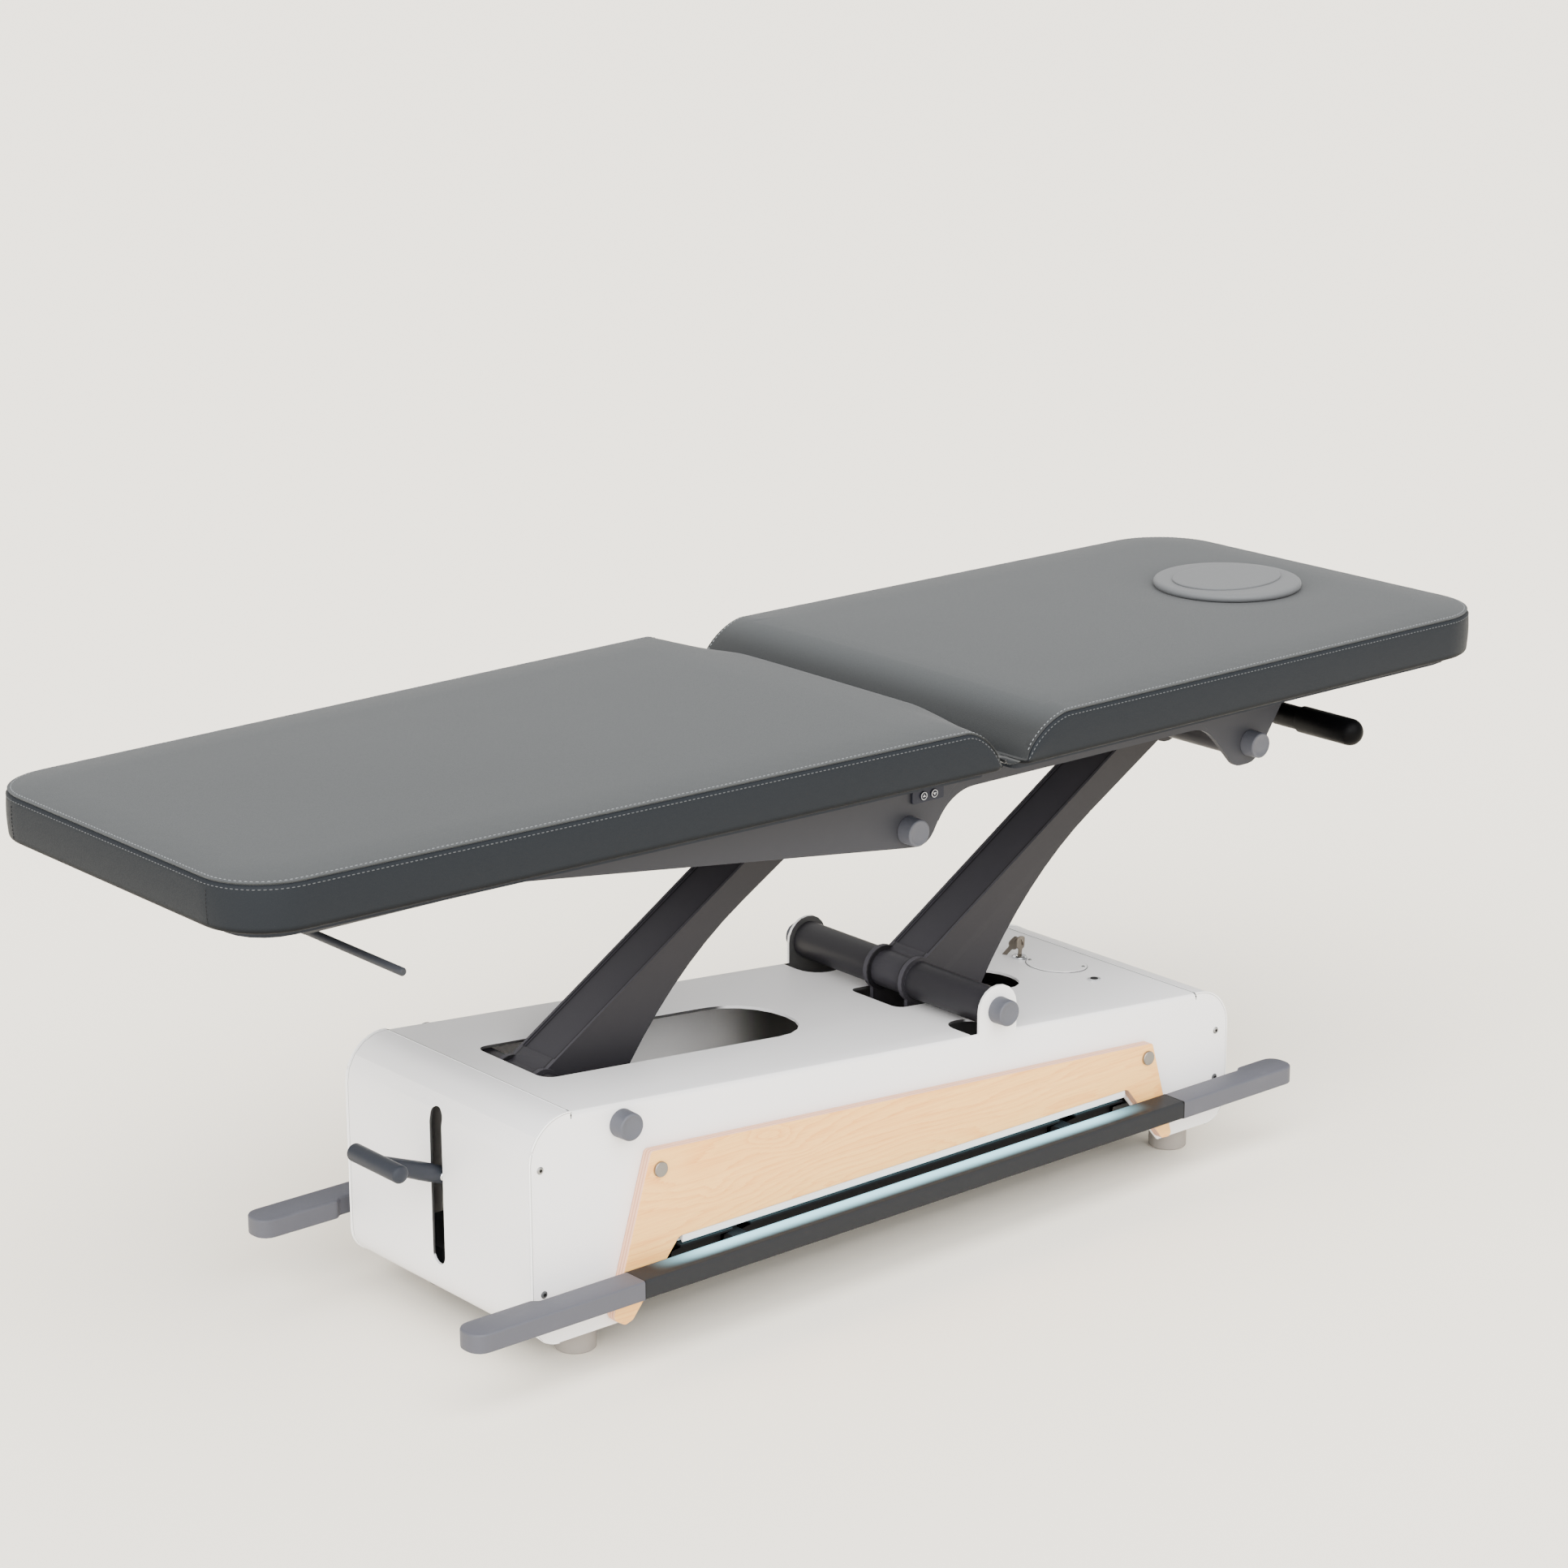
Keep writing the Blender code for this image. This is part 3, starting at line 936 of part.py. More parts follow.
def make_table_frame():
    """Table frame: ladder under the front section, lower ladder under the head section, hinge lugs."""
    start = FOOT_END + FRAME_FOOT
    stop = FRONT_END - 0.006
    ladder = box((start, stop), (-FRAME_SIDE, FRAME_SIDE), (FRAME_LOW, FRAME_TOP))
    frame = piece("table_frame", ladder, "frame_paint", "table")
    inner = FRAME_SIDE - FRAME_BAR
    middle = (start + stop) / 2
    tall = (FRAME_LOW - 0.01, FRAME_TOP + 0.01)
    cut(frame, box((start + FRAME_BAR, middle - FRAME_BAR / 2), (-inner, inner), tall),
        box((middle + FRAME_BAR / 2, stop - FRAME_BAR), (-inner, inner), tall))
    cross = (stop - FRAME_BAR * 0.8, HINGE.x + HINGE_EYE)
    rail_y = FRAME_SIDE - 0.0002
    for side, sign in SIDES:
        add(frame, box((cross[0], FRAME_HEAD), between(sign, inner, rail_y), (LADDER_LOW, LADDER_TOP)))
    add(frame, box(cross, (-rail_y + 0.001, rail_y - 0.001), (LADDER_LOW + 0.0002, LADDER_TOP - 0.0002)),
        box((FRAME_HEAD - FRAME_BAR, FRAME_HEAD - 0.0004), (-rail_y + 0.001, rail_y - 0.001),
            (LADDER_LOW + 0.0002, LADDER_TOP - 0.0002)))
    for side, sign in SIDES:
        eye = HINGE_EYE - 0.0005
        lug = fillet([(HINGE.x - eye, LADDER_TOP - 0.010), (HINGE.x + eye, LADDER_TOP - 0.010),
                      (HINGE.x + eye, HINGE.z + HINGE_EYE, HINGE_EYE * 0.9),
                      (HINGE.x - eye, HINGE.z + HINGE_EYE, HINGE_EYE * 0.9)])
        add(frame, prism(lug, "Y", *between(sign, LUG_Y, LUG_Y + LUG)))
    foot_x, foot_z = HINGE.x + SPRING_FOOT[0], HINGE.z + SPRING_FOOT[1]
    for side, sign in SIDES:
        ear = fillet([(cross[1] - 0.015, foot_z - 0.009), (foot_x + 0.009, foot_z - 0.009, 0.008),
                      (foot_x + 0.009, foot_z + 0.009, 0.008), (cross[1] - 0.015, foot_z + 0.009)])
        add(frame, prism(ear, "Y", *between(sign, SPRING_FORK, SPRING_FORK + 0.006)))
    add(frame, rod(SPRING_PIN, -SPRING_FORK - 0.003, SPRING_FORK + 0.003, (foot_x, 0, foot_z), "Y"))
    cut(frame, rod(HINGE_PIN + SEAT, -0.3, 0.3, (HINGE.x, 0, HINGE.z), "Y"))
    reach = LUG_Y + 2 * LUG + 0.002
    pin = rod(HINGE_PIN, -reach, reach, (HINGE.x, 0, HINGE.z), "Y", 14, 0.001)
    piece("hinge_pin", pin, "steel", "table")
    plan = section_outline(FOOT_END, FRONT_END, BOARD_INSET, BOARD_INSET - GAP_CORNER - 0.006,
                           FOOT_CORNER, 0.010)
    piece("front_board", prism(plan, "Z", BOARD_TOP - BOARD, BOARD_TOP), "board_wood", "table")

    y, z = FRAME_SIDE - FRAME_BAR / 2, ROLL_BAR_Z
    path = [(y, FRAME_LOW - SEAT)]
    for step in range(7):
        angle = math.pi / 2 * step / 6
        path.append((y - ROLL_BAR_BEND * (1 - math.cos(angle)), z + ROLL_BAR_BEND * (1 - math.sin(angle))))
    path += [(-ROLL_BAR_END + 0.002, z), (-ROLL_BAR_END, z)]
    rings = []
    for index, (here_y, here_z) in enumerate(path):
        before = Vector(path[max(index - 1, 0)])
        after = Vector(path[min(index + 1, len(path) - 1)])
        along = (after - before).normalized()
        radius = ROLL_BAR_RADIUS - (0.0015 if index == len(path) - 1 else 0.0)
        ring = []
        for turn in range(16):
            angle = 2 * math.pi * turn / 16
            side_step = radius * math.cos(angle)
            ring.append((ROLL_BAR_X + radius * math.sin(angle), here_y - along.y * side_step,
                         here_z + along.x * side_step))
        rings.append(ring)
    piece("paper_roll_bar", loft(rings), "tip_plastic", "table")


def section_outline(low, high, side_inset, gap_inset, foot_radius, gap_radius):
    """Plan outline of one tabletop section, drawn in from its edges; the section narrows to the foot."""
    if low < 0 and low == FOOT_END:
        first, last = low + side_inset, high - gap_inset
        wide_first, wide_last = half_width(first) - side_inset, half_width(last) - side_inset
        corner = max(foot_radius - side_inset, 0.004)
        return fillet([(first, -wide_first, corner), (last, -wide_last, gap_radius),
                       (last, wide_last, gap_radius), (first, wide_first, corner)])
    first, last = low + gap_inset, high - side_inset
    wide = HEAD_WIDTH / 2 - side_inset
    corner = max(foot_radius - side_inset, 0.004)
    return fillet([(first, -wide, gap_radius), (last, -wide, corner),
                   (last, wide, corner), (first, wide, gap_radius)])


def half_width(x):
    """Half the tabletop's width: it narrows evenly from the gap to the foot end."""
    share = min(max((x - FOOT_END) / FRONT_LENGTH, 0.0), 1.0)
    return (FOOT_WIDTH + (HEAD_WIDTH - FOOT_WIDTH) * share) / 2


def ring_outline(low, high, corner_low, corner_high, inset, taper):
    """Points of a rounded plan outline drawn in by an inset, always in the same number."""
    first, last = low + inset, high - inset
    wide = HEAD_WIDTH / 2 - inset
    points = []
    quarter, long_steps, end_steps = 5, 12, 4
    low_r, high_r = max(corner_low - inset, 0.003), max(corner_high - inset, 0.003)
    low_r, high_r = min(low_r, wide * 0.9), min(high_r, wide * 0.9)
    corners = ((first, -1, -1, low_r, math.pi), (last, 1, -1, high_r, 1.5 * math.pi),
               (last, 1, 1, high_r, 0.0), (first, -1, 1, low_r, 0.5 * math.pi))
    for index, (x, way_x, way_y, radius, begin) in enumerate(corners):
        centre = (x - way_x * radius, way_y * (wide - radius))
        for step in range(quarter + 1):
            angle = begin + math.pi / 2 * step / quarter
            points.append((centre[0] + radius * math.cos(angle), centre[1] + radius * math.sin(angle)))
        after = corners[(index + 1) % 4]
        end = (after[0] - after[1] * after[3], after[2] * (wide - after[3]))
        begin_next = after[4]
        end = (end[0] + after[3] * math.cos(begin_next), end[1] + after[3] * math.sin(begin_next))
        start = points[-1]
        steps = long_steps if index % 2 == 0 else end_steps
        for step in range(1, steps):
            share = 0.5 - 0.5 * math.cos(math.pi * step / steps)
            points.append((start[0] + (end[0] - start[0]) * share, start[1] + (end[1] - start[1]) * share))
    if taper:
        points = [(x, y * half_width(x) / (HEAD_WIDTH / 2)) for x, y in points]
    return points


def cushion(low, high, corner_low, corner_high, thickness, taper):
    """Padded section: drawn-in band, a seam groove, a soft shoulder and a crowned top.

    Each ring is the plan outline drawn in by an inset, at a share of the local thickness.
    """
    seam = SIDE_BAND
    band = [(0.0060, 0.0), (0.0016, 0.0035), (0.0006, 0.012), (0.0, seam * 0.5), (0.0008, seam - 0.009),
            (0.0016, seam - 0.0035), (SEAM_DEPTH, seam), (0.0018, seam + 0.0022)]
    for inset in (0.006, 0.014, 0.030, 0.060, 0.110, 0.180, 0.250):
        share = inset / 0.250
        rise = CROWN * (0.42 * (1 - math.exp(-inset / 0.010)) + 0.58 * (1 - (1 - share) ** 2))
        band.append((inset, seam + rise))
    top = band[-1][1]
    rings = []
    for inset, height in band:
        ring = []
        for x, y in ring_outline(low, high, corner_low, corner_high, inset, taper):
            ring.append((x, y, CUSHION_LOW + height / top * (SIDE_BAND + CROWN) * thickness(x)))
        rings.append(ring)
    return loft(rings)


def front_thickness(x):
    """Share of the full thickness: the front cushion is rounded where it meets the gap."""
    drop = FRONT_END - x
    if drop >= GAP_ROUND:
        return 1.0
    full = SIDE_BAND + CROWN
    return 1.0 - (GAP_ROUND - math.sqrt(max(GAP_ROUND ** 2 - (GAP_ROUND - drop) ** 2, 0.0))) / full


def head_thickness(x):
    """Share of the full thickness: the head cushion falls in a quarter round at the gap."""
    drop = x - HEAD_START
    if drop >= WATERFALL:
        return 1.0
    full = SIDE_BAND + CROWN
    return 1.0 - (WATERFALL - math.sqrt(max(WATERFALL ** 2 - (WATERFALL - drop) ** 2, 0.0))) / full


def make_cushions():
    """Front and head cushions, the head board and the face plug."""
    front = cushion(FOOT_END, FRONT_END, FOOT_CORNER, GAP_CORNER, front_thickness, True)
    piece("front_cushion", front, "pad_top", "table")
    head = cushion(HEAD_START, HEAD_END, GAP_CORNER, HEAD_CORNER, head_thickness, False)
    pad = piece("head_cushion", head, "pad_top", "head")
    hole = FACE_HOLE / 2
    cut(pad, rod(hole, CUSHION_LOW - 0.02, CUSHION_TOP + 0.02, (PLUG_X, 0, 0), "Z", 36))
    plan = section_outline(HEAD_START, HEAD_END, BOARD_INSET, 0.012, HEAD_CORNER, 0.010)
    board = piece("head_board", prism(plan, "Z", BOARD_TOP - BOARD, BOARD_TOP), "board_wood", "head")
    cut(board, rod(hole, BOARD_TOP - BOARD - 0.01, BOARD_TOP + 0.01, (PLUG_X, 0, 0), "Z", 36))
    rim = hole + PLUG_RIM
    low = CUSHION_TOP + SEAT
    profile = [(0.0, CUSHION_TOP - PLUG_DEPTH), (hole - 0.006, CUSHION_TOP - PLUG_DEPTH),
               (hole - SEAT * 4, CUSHION_TOP - PLUG_DEPTH + 0.006), (hole - SEAT * 4, low),
               (rim - 0.002, low), (rim, low + PLUG_RISE * 0.30), (rim - 0.003, low + PLUG_RISE * 0.72),
               (rim - 0.010, low + PLUG_RISE * 0.95), (rim - 0.020, low + PLUG_RISE),
               (rim - 0.030, low + PLUG_RISE * 0.90), (0.0, low + PLUG_RISE * 0.90)]
    plug = piece("face_plug", turned(profile, (PLUG_X, 0, 0), "Z", 36), "plug_cover", "plug")
    oval = []
    for step in range(28):
        angle = 2 * math.pi * step / 28
        oval.append((hole * 0.87 * math.cos(angle), hole * 0.66 * math.sin(angle)))
    rings = []
    for share, level in ((1.0, PLUG_RISE * 0.5), (1.0, PLUG_RISE * 1.02), (0.94, PLUG_RISE * 1.16),
                         (0.80, PLUG_RISE * 1.22)):
        rings.append([(PLUG_X + x * share, y * share, low + level) for x, y in oval])
    add(plug, loft(rings))


def make_head_frame():
    """Tilting frame under the head section with its hinge lugs, spring fork and release lever."""
    start = HEAD_START + 0.010
    stop = FRAME_HEAD
    outer = HEAD_FRAME_SIDE
    inner = outer - HEAD_RAIL
    bar = FRAME_BAR
    ladder = box((start, stop), (-outer, outer), (HEAD_FRAME_LOW, FRAME_TOP))
    frame = piece("head_frame", ladder, "frame_paint", "head")
    head_x, head_z = HINGE.x + SPRING_HEAD[0], HINGE.z + SPRING_HEAD[1]
    cross = (head_x - bar / 2, head_x + bar / 2)
    tall = (HEAD_FRAME_LOW - 0.01, FRAME_TOP + 0.01)
    room = SPRING_TUBE + ROOM
    cut(frame, box((start + bar, cross[0]), (-inner, inner), tall),
        box((cross[1], stop - bar), (-inner, inner), tall))
    cut(frame, box((start - ROOM, start + bar + ROOM), (-room, room),
                   (tall[0], HEAD_FRAME_LOW + SPRING_NOTCH)))
    lug_in = LUG_Y + LUG + 0.0005
    for side, sign in SIDES:
        low = HEAD_FRAME_LOW + 0.0005
        lug = fillet([(HINGE.x - HINGE_EYE, low), (start + 0.012, low), (start + 0.012, FRAME_TOP - 0.0005),
                      (HINGE.x + HINGE_EYE, FRAME_TOP - 0.0005, 0.004),
                      (HINGE.x + HINGE_EYE, HINGE.z + HINGE_EYE, HINGE_EYE * 0.95),
                      (HINGE.x - HINGE_EYE, HINGE.z + HINGE_EYE, HINGE_EYE * 0.95)])
        add(frame, prism(lug, "Y", *between(sign, lug_in, lug_in + LUG)))
    for side, sign in SIDES:
        fork = fillet([(head_x - 0.012, HEAD_FRAME_LOW + 0.004), (head_x - 0.008, head_z - 0.008, 0.007),
                       (head_x + 0.008, head_z - 0.008, 0.007), (head_x + 0.012, HEAD_FRAME_LOW + 0.004)])
        add(frame, prism(fork, "Y", *between(sign, SPRING_FORK, SPRING_FORK + 0.006)))
    add(frame, rod(SPRING_PIN, -SPRING_FORK - 0.003, SPRING_FORK + 0.003, (head_x, 0, head_z), "Y"))
    half = LEVER_ROD + ROOM
    arm_y = (LEVER_PIVOT_Y - 0.0145, LEVER_PIVOT_Y + 0.0145)
    add(frame, box((stop - 0.020, LEVER_X + half + 0.007), arm_y,
                   (HEAD_FRAME_LOW + 0.0003, FRAME_TOP - 0.0003)))
    for low, high in ((LEVER_X - half - 0.006, LEVER_X - half), (LEVER_X + half, LEVER_X + half + 0.006)):
        cheek = fillet([(LEVER_PIVOT_Y - 0.012, HEAD_FRAME_LOW + 0.005),
                        (LEVER_PIVOT_Y - 0.010, LEVER_Z - 0.010, 0.009),
                        (LEVER_PIVOT_Y + 0.010, LEVER_Z - 0.010, 0.009),
                        (LEVER_PIVOT_Y + 0.012, HEAD_FRAME_LOW + 0.005)])
        add(frame, prism(cheek, "X", low, high))
    add(frame, rod(SPRING_PIN, LEVER_X - half - 0.003, LEVER_X + half + 0.003,
                   (0, LEVER_PIVOT_Y, LEVER_Z), "X"))
    cut(frame, rod(HINGE_PIN + RUNNING, -0.3, 0.3, (HINGE.x, 0, HINGE.z), "Y"))

    grip_in = LEVER_END_Y + GRIP_LENGTH
    core = LEVER_ROD
    bar_shape = rod(core, LEVER_END_Y + GRIP_RADIUS, LEVER_PIVOT_Y - 0.004, (LEVER_X, 0, LEVER_Z), "Y", 14)
    lever = piece("release_lever", bar_shape, "steel", "release")
    add(lever, rod(SPRING_PIN * 2.2, LEVER_X - half + 0.0005, LEVER_X + half - 0.0005,
                   (0, LEVER_PIVOT_Y, LEVER_Z), "X"))
    cut(lever, rod(SPRING_PIN + RUNNING, LEVER_X - 0.05, LEVER_X + 0.05, (0, LEVER_PIVOT_Y, LEVER_Z), "X"))
    profile = [(core + SEAT, grip_in), (GRIP_RADIUS - 0.001, grip_in), (GRIP_RADIUS, grip_in - 0.001),
               (GRIP_RADIUS, LEVER_END_Y + GRIP_RADIUS)]
    for step in range(1, 6):
        angle = math.pi / 2 * step / 6
        profile.append((GRIP_RADIUS * math.cos(angle), LEVER_END_Y + GRIP_RADIUS * (1 - math.sin(angle))))
    profile += [(0.0, LEVER_END_Y), (0.0, LEVER_END_Y + GRIP_RADIUS - SEAT),
                (core + SEAT, LEVER_END_Y + GRIP_RADIUS - SEAT)]
    grip = turned(profile, (LEVER_X, 0, LEVER_Z), "Y", 18, closed=True)
    piece("release_grip", grip, "black_plastic", "release")


def make_gas_spring():
    """Gas spring that holds the head section; its slotted rod end takes the pin of the head frame."""
    foot = ORIGINS["spring_tube"]
    head = ORIGINS["spring_rod"]
    run = head - foot
    aim = Matrix.Translation(foot) @ run.to_track_quat("Z", "Y").to_matrix().to_4x4()
    body = turned([(0.0, 0.010), (SPRING_TUBE - 0.002, 0.010), (SPRING_TUBE, 0.013),
                   (SPRING_TUBE, SPRING_TUBE_LENGTH - 0.003), (SPRING_TUBE - 0.003, SPRING_TUBE_LENGTH),
                   (0.0, SPRING_TUBE_LENGTH)], (0, 0, 0), "Z", 16)
    tube = piece("gas_spring_cylinder", moved(body, aim), "black_plastic", "spring_tube")
    eye = rod(0.009, -SPRING_FORK + 0.0005, SPRING_FORK - 0.0005, foot, "Y")
    add(tube, eye, moved(rod(0.006, 0.004, 0.014, (0, 0, 0), "Z"), aim))
    cut(tube, moved(rod(SPRING_ROD + RUNNING, 0.040, SPRING_TUBE_LENGTH + 0.02, (0, 0, 0), "Z"), aim),
        rod(SPRING_PIN + RUNNING, -0.05, 0.05, foot, "Y"))
    length = run.length
    tall = SPRING_SLOT + SPRING_PIN
    wide = SPRING_PIN + SPRING_SLACK
    shaft = moved(rod(SPRING_ROD, 0.085, length - wide - 0.003, (0, 0, 0), "Z", 20), aim)
    bar = piece("gas_spring_rod", shaft, "steel", "spring_rod")
    turn = Matrix.Translation(head) @ Matrix.Rotation(-math.atan2(run.z, run.x), 4, "Y")
    rim = fillet([(-wide - 0.006, -tall - 0.005, 0.008), (wide + 0.005, -tall - 0.005, 0.008),
                  (wide + 0.005, tall + 0.005, 0.008), (-wide - 0.006, tall + 0.005, 0.008)])
    add(bar, moved(prism(rim, "Y", -SPRING_EYE, SPRING_EYE), turn))
    way = fillet([(-wide, -tall, wide * 0.9), (wide, -tall, wide * 0.9),
                  (wide, tall, wide * 0.9), (-wide, tall, wide * 0.9)])
    cut(bar, moved(prism(way, "Y", -0.02, 0.02), turn))


def main():
    """Build the whole table."""
    clear_scene()
    make_groups()
    make_housing()
    make_fittings()
    make_base_frame()
    make_castors()
    make_side_panels()
    make_arm("arm_foot", PIVOT_A, PIVOT_C, FOOT_TUBE, FOOT_COLLAR, False)
    make_arm("arm_head", PIVOT_B, PIVOT_D, EAR_TUBE, COLLAR, True)
    make_caps()
    make_actuator()
    make_side_plates()
    make_table_frame()
    make_head_frame()
    make_cushions()
    make_gas_spring()


main()
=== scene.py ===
"""Looks of an electric physiotherapy table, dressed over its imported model.

Units are metres. +X points to the head end, the near long side faces -Y and +Z is up.
"""
import json
import math

import bmesh
import bpy
import numpy as np
from bpy.props import FloatProperty, FloatVectorProperty, IntProperty, PointerProperty
from mathutils import Matrix, Vector

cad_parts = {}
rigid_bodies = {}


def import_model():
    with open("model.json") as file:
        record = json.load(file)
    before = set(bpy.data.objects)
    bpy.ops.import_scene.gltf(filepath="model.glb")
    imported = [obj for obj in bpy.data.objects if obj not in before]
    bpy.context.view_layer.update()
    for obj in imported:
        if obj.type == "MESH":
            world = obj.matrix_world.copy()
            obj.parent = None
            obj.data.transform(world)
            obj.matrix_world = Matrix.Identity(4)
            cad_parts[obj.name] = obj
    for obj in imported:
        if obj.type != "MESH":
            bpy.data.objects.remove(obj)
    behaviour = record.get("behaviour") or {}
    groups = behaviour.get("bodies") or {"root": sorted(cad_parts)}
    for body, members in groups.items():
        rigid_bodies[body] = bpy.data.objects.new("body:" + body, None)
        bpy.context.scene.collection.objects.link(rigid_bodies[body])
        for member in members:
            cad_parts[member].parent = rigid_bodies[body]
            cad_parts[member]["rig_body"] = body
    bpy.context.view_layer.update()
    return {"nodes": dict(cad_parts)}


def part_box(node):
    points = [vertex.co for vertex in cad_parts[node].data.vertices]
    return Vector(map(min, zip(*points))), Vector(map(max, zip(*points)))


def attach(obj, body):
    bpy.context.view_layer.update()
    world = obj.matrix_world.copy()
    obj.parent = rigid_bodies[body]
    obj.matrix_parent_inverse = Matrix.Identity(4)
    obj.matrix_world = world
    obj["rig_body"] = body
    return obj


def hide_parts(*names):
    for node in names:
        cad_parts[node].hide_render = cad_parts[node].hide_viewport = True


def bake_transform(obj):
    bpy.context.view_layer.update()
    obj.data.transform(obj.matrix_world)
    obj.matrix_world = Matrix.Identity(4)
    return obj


bl_info = {
    "name": "Physiotherapy table looks",
    "version": (1, 0, 0),
    "blender": (4, 5, 0),
    "location": "3D View > Sidebar > Table",
    "description": "Dresses the packed treatment table in leather, paint, wood and light",
    "category": "Object",
}

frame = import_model()
NODES = frame["nodes"]
SIDES = (("near", -1.0), ("far", 1.0))
FINISHES = {}

# Base housing
TOP_SLOPE = 0.0896
TOP_X, TOP_Z = 0.027, 0.2868
TOP_AT_ZERO = 0.2892
TOP_UP = np.array((0.0892424, 0.0, 0.9960099))
TOP_ALONG = np.array((TOP_UP[2], 0.0, -TOP_UP[0]))
INNER_HALF = 0.1890
FOOT_SEAM = -0.504
HEAD_SEAM = 0.558
TOP_ROUND = 0.056
LOW_ROUND = 0.038


def tone(red, green, blue):
    """Linear colour of screen values from 0 to 255."""
    screen = np.array((red, green, blue)) / 255.0
    return tuple(np.where(screen < 0.04045, screen / 12.92, ((screen + 0.055) / 1.055) ** 2.4))


def colour_property(label, words, red, green, blue):
    """Colour that a user would change, given in screen values."""
    return FloatVectorProperty(name=label, description=words, subtype="COLOR", size=3, min=0.0, max=1.0,
                               default=tone(red, green, blue))


def length_property(label, words, size):
    """Length that a user would change."""
    return FloatProperty(name=label, description=words, unit="LENGTH", default=size, min=0.0)


class PadSettings(bpy.types.PropertyGroup):
    """Sizes and colours of the padding."""
    leather: colour_property("Leather", "Top leather of both cushions", 57, 60, 62)
    band: colour_property("Band", "Darker leather round the sides", 29, 32, 36)
    plug: colour_property("Plug", "Leather of the face plug", 90, 92, 94)
    thread: colour_property("Thread", "Sewing thread", 116, 119, 122)
    pillow: length_property("Pillow", "Soft rise of the leather inside the seam", 0.0050)
    pillow_width: length_property("Pillow width", "How far in that rise reaches", 0.070)
    crown: length_property("Crown", "Further rise to the middle of a cushion", 0.0010)
    swell: length_property("Swell", "Most that the simulated padding may rise", 0.0030)
    groove: length_property("Groove", "Depth of the seam", 0.0032)
    stitch: length_property("Stitch", "Length of a stitch", 0.0040)
    stitch_step: length_property("Stitch step", "From one stitch to the next", 0.0062)
    gap_ease: length_property("Gap ease", "Slow fall of the top towards the gap", 0.0090)
    thread_radius: length_property("Thread radius", "Half the thickness of the thread", 0.00060)


class PaintSettings(bpy.types.PropertyGroup):
    """Colours of the painted and moulded pieces."""
    housing: colour_property("Housing", "Powder coat of the base", 240, 239, 240)
    arm: colour_property("Arms", "Powder coat of the lift arms", 39, 38, 42)
    plate: colour_property("Side plates", "Powder coat under the tabletop", 54, 55, 60)
    cap: colour_property("Caps", "Moulded caps of the pivots", 80, 82, 90)
    bar: colour_property("Foot bars", "Middle of the foot bars", 42, 43, 45)
    tip: colour_property("Bar ends", "Ends of the foot bars", 76, 77, 85)
    black: colour_property("Black", "Moulded grips and liners", 4, 4, 5)
    foot: colour_property("Feet", "Levelling feet", 152, 146, 140)
    wear: length_property("Edge radius", "Softening of sheet and panel edges", 0.0009)


class WoodSettings(bpy.types.PropertyGroup):
    """Wood of the side panels."""
    light: colour_property("Light wood", "Between the growth rings", 255, 204, 122)
    dark: colour_property("Dark wood", "Along the growth rings", 230, 140, 58)
    ply: length_property("Ply", "Thickness of one layer in the panel's edge", 0.0024)


class LightSettings(bpy.types.PropertyGroup):
    """Light strips under the side panels and the studio."""
    glow: colour_property("Glow", "Light of the strips", 174, 236, 250)
    strength: FloatProperty(name="Glow strength", description="Brightness of the strips", default=5.0, min=0.0)
    floor: colour_property("Floor", "Plain floor", 255, 248, 234)
    sky: FloatProperty(name="Sky", description="Strength of the surrounding light", default=1.9, min=0.0)
    key: FloatProperty(name="Key", description="Strength of the main light", default=4.8, min=0.0)
    lens: FloatProperty(name="Lens", description="Focal length on a 36 mm frame", default=89.82, min=1.0)
    sides: IntProperty(name="Round sides", description="Points round a turned piece", default=96, min=12)


class Value:
    """One output socket; arithmetic on it adds Math nodes to its finish."""

    def __init__(self, finish, socket):
        self.finish = finish
        self.socket = socket

    def math(self, operation, first, second=0.0):
        """Math node on two values."""
        return self.finish.node("ShaderNodeMath", {"operation": operation}, {0: first, 1: second})

    def __add__(self, other):
        return self.math("ADD", self, other)

    __radd__ = __add__

    def __sub__(self, other):
        return self.math("SUBTRACT", self, other)

    def __rsub__(self, other):
        return self.math("SUBTRACT", other, self)

    def __mul__(self, other):
        return self.math("MULTIPLY", self, other)

    __rmul__ = __mul__

    def __pow__(self, other):
        return self.math("POWER", self, other)

    def __gt__(self, other):
        return self.math("GREATER_THAN", self, other)

    def absolute(self):
        """Value without its sign."""
        return self.math("ABSOLUTE", self)

    def sine(self):
        """Sine of the value."""
        return self.math("SINE", self)

    def fraction(self):
        """Part of the value after the point."""
        return self.math("FRACT", self)

    def ramp(self, low, high):
        """Smooth step from 0 at low to 1 at high."""
        return self.finish.node("ShaderNodeMapRange", {"interpolation_type": "SMOOTHSTEP"},
                                {"Value": self, "From Min": low, "From Max": high})


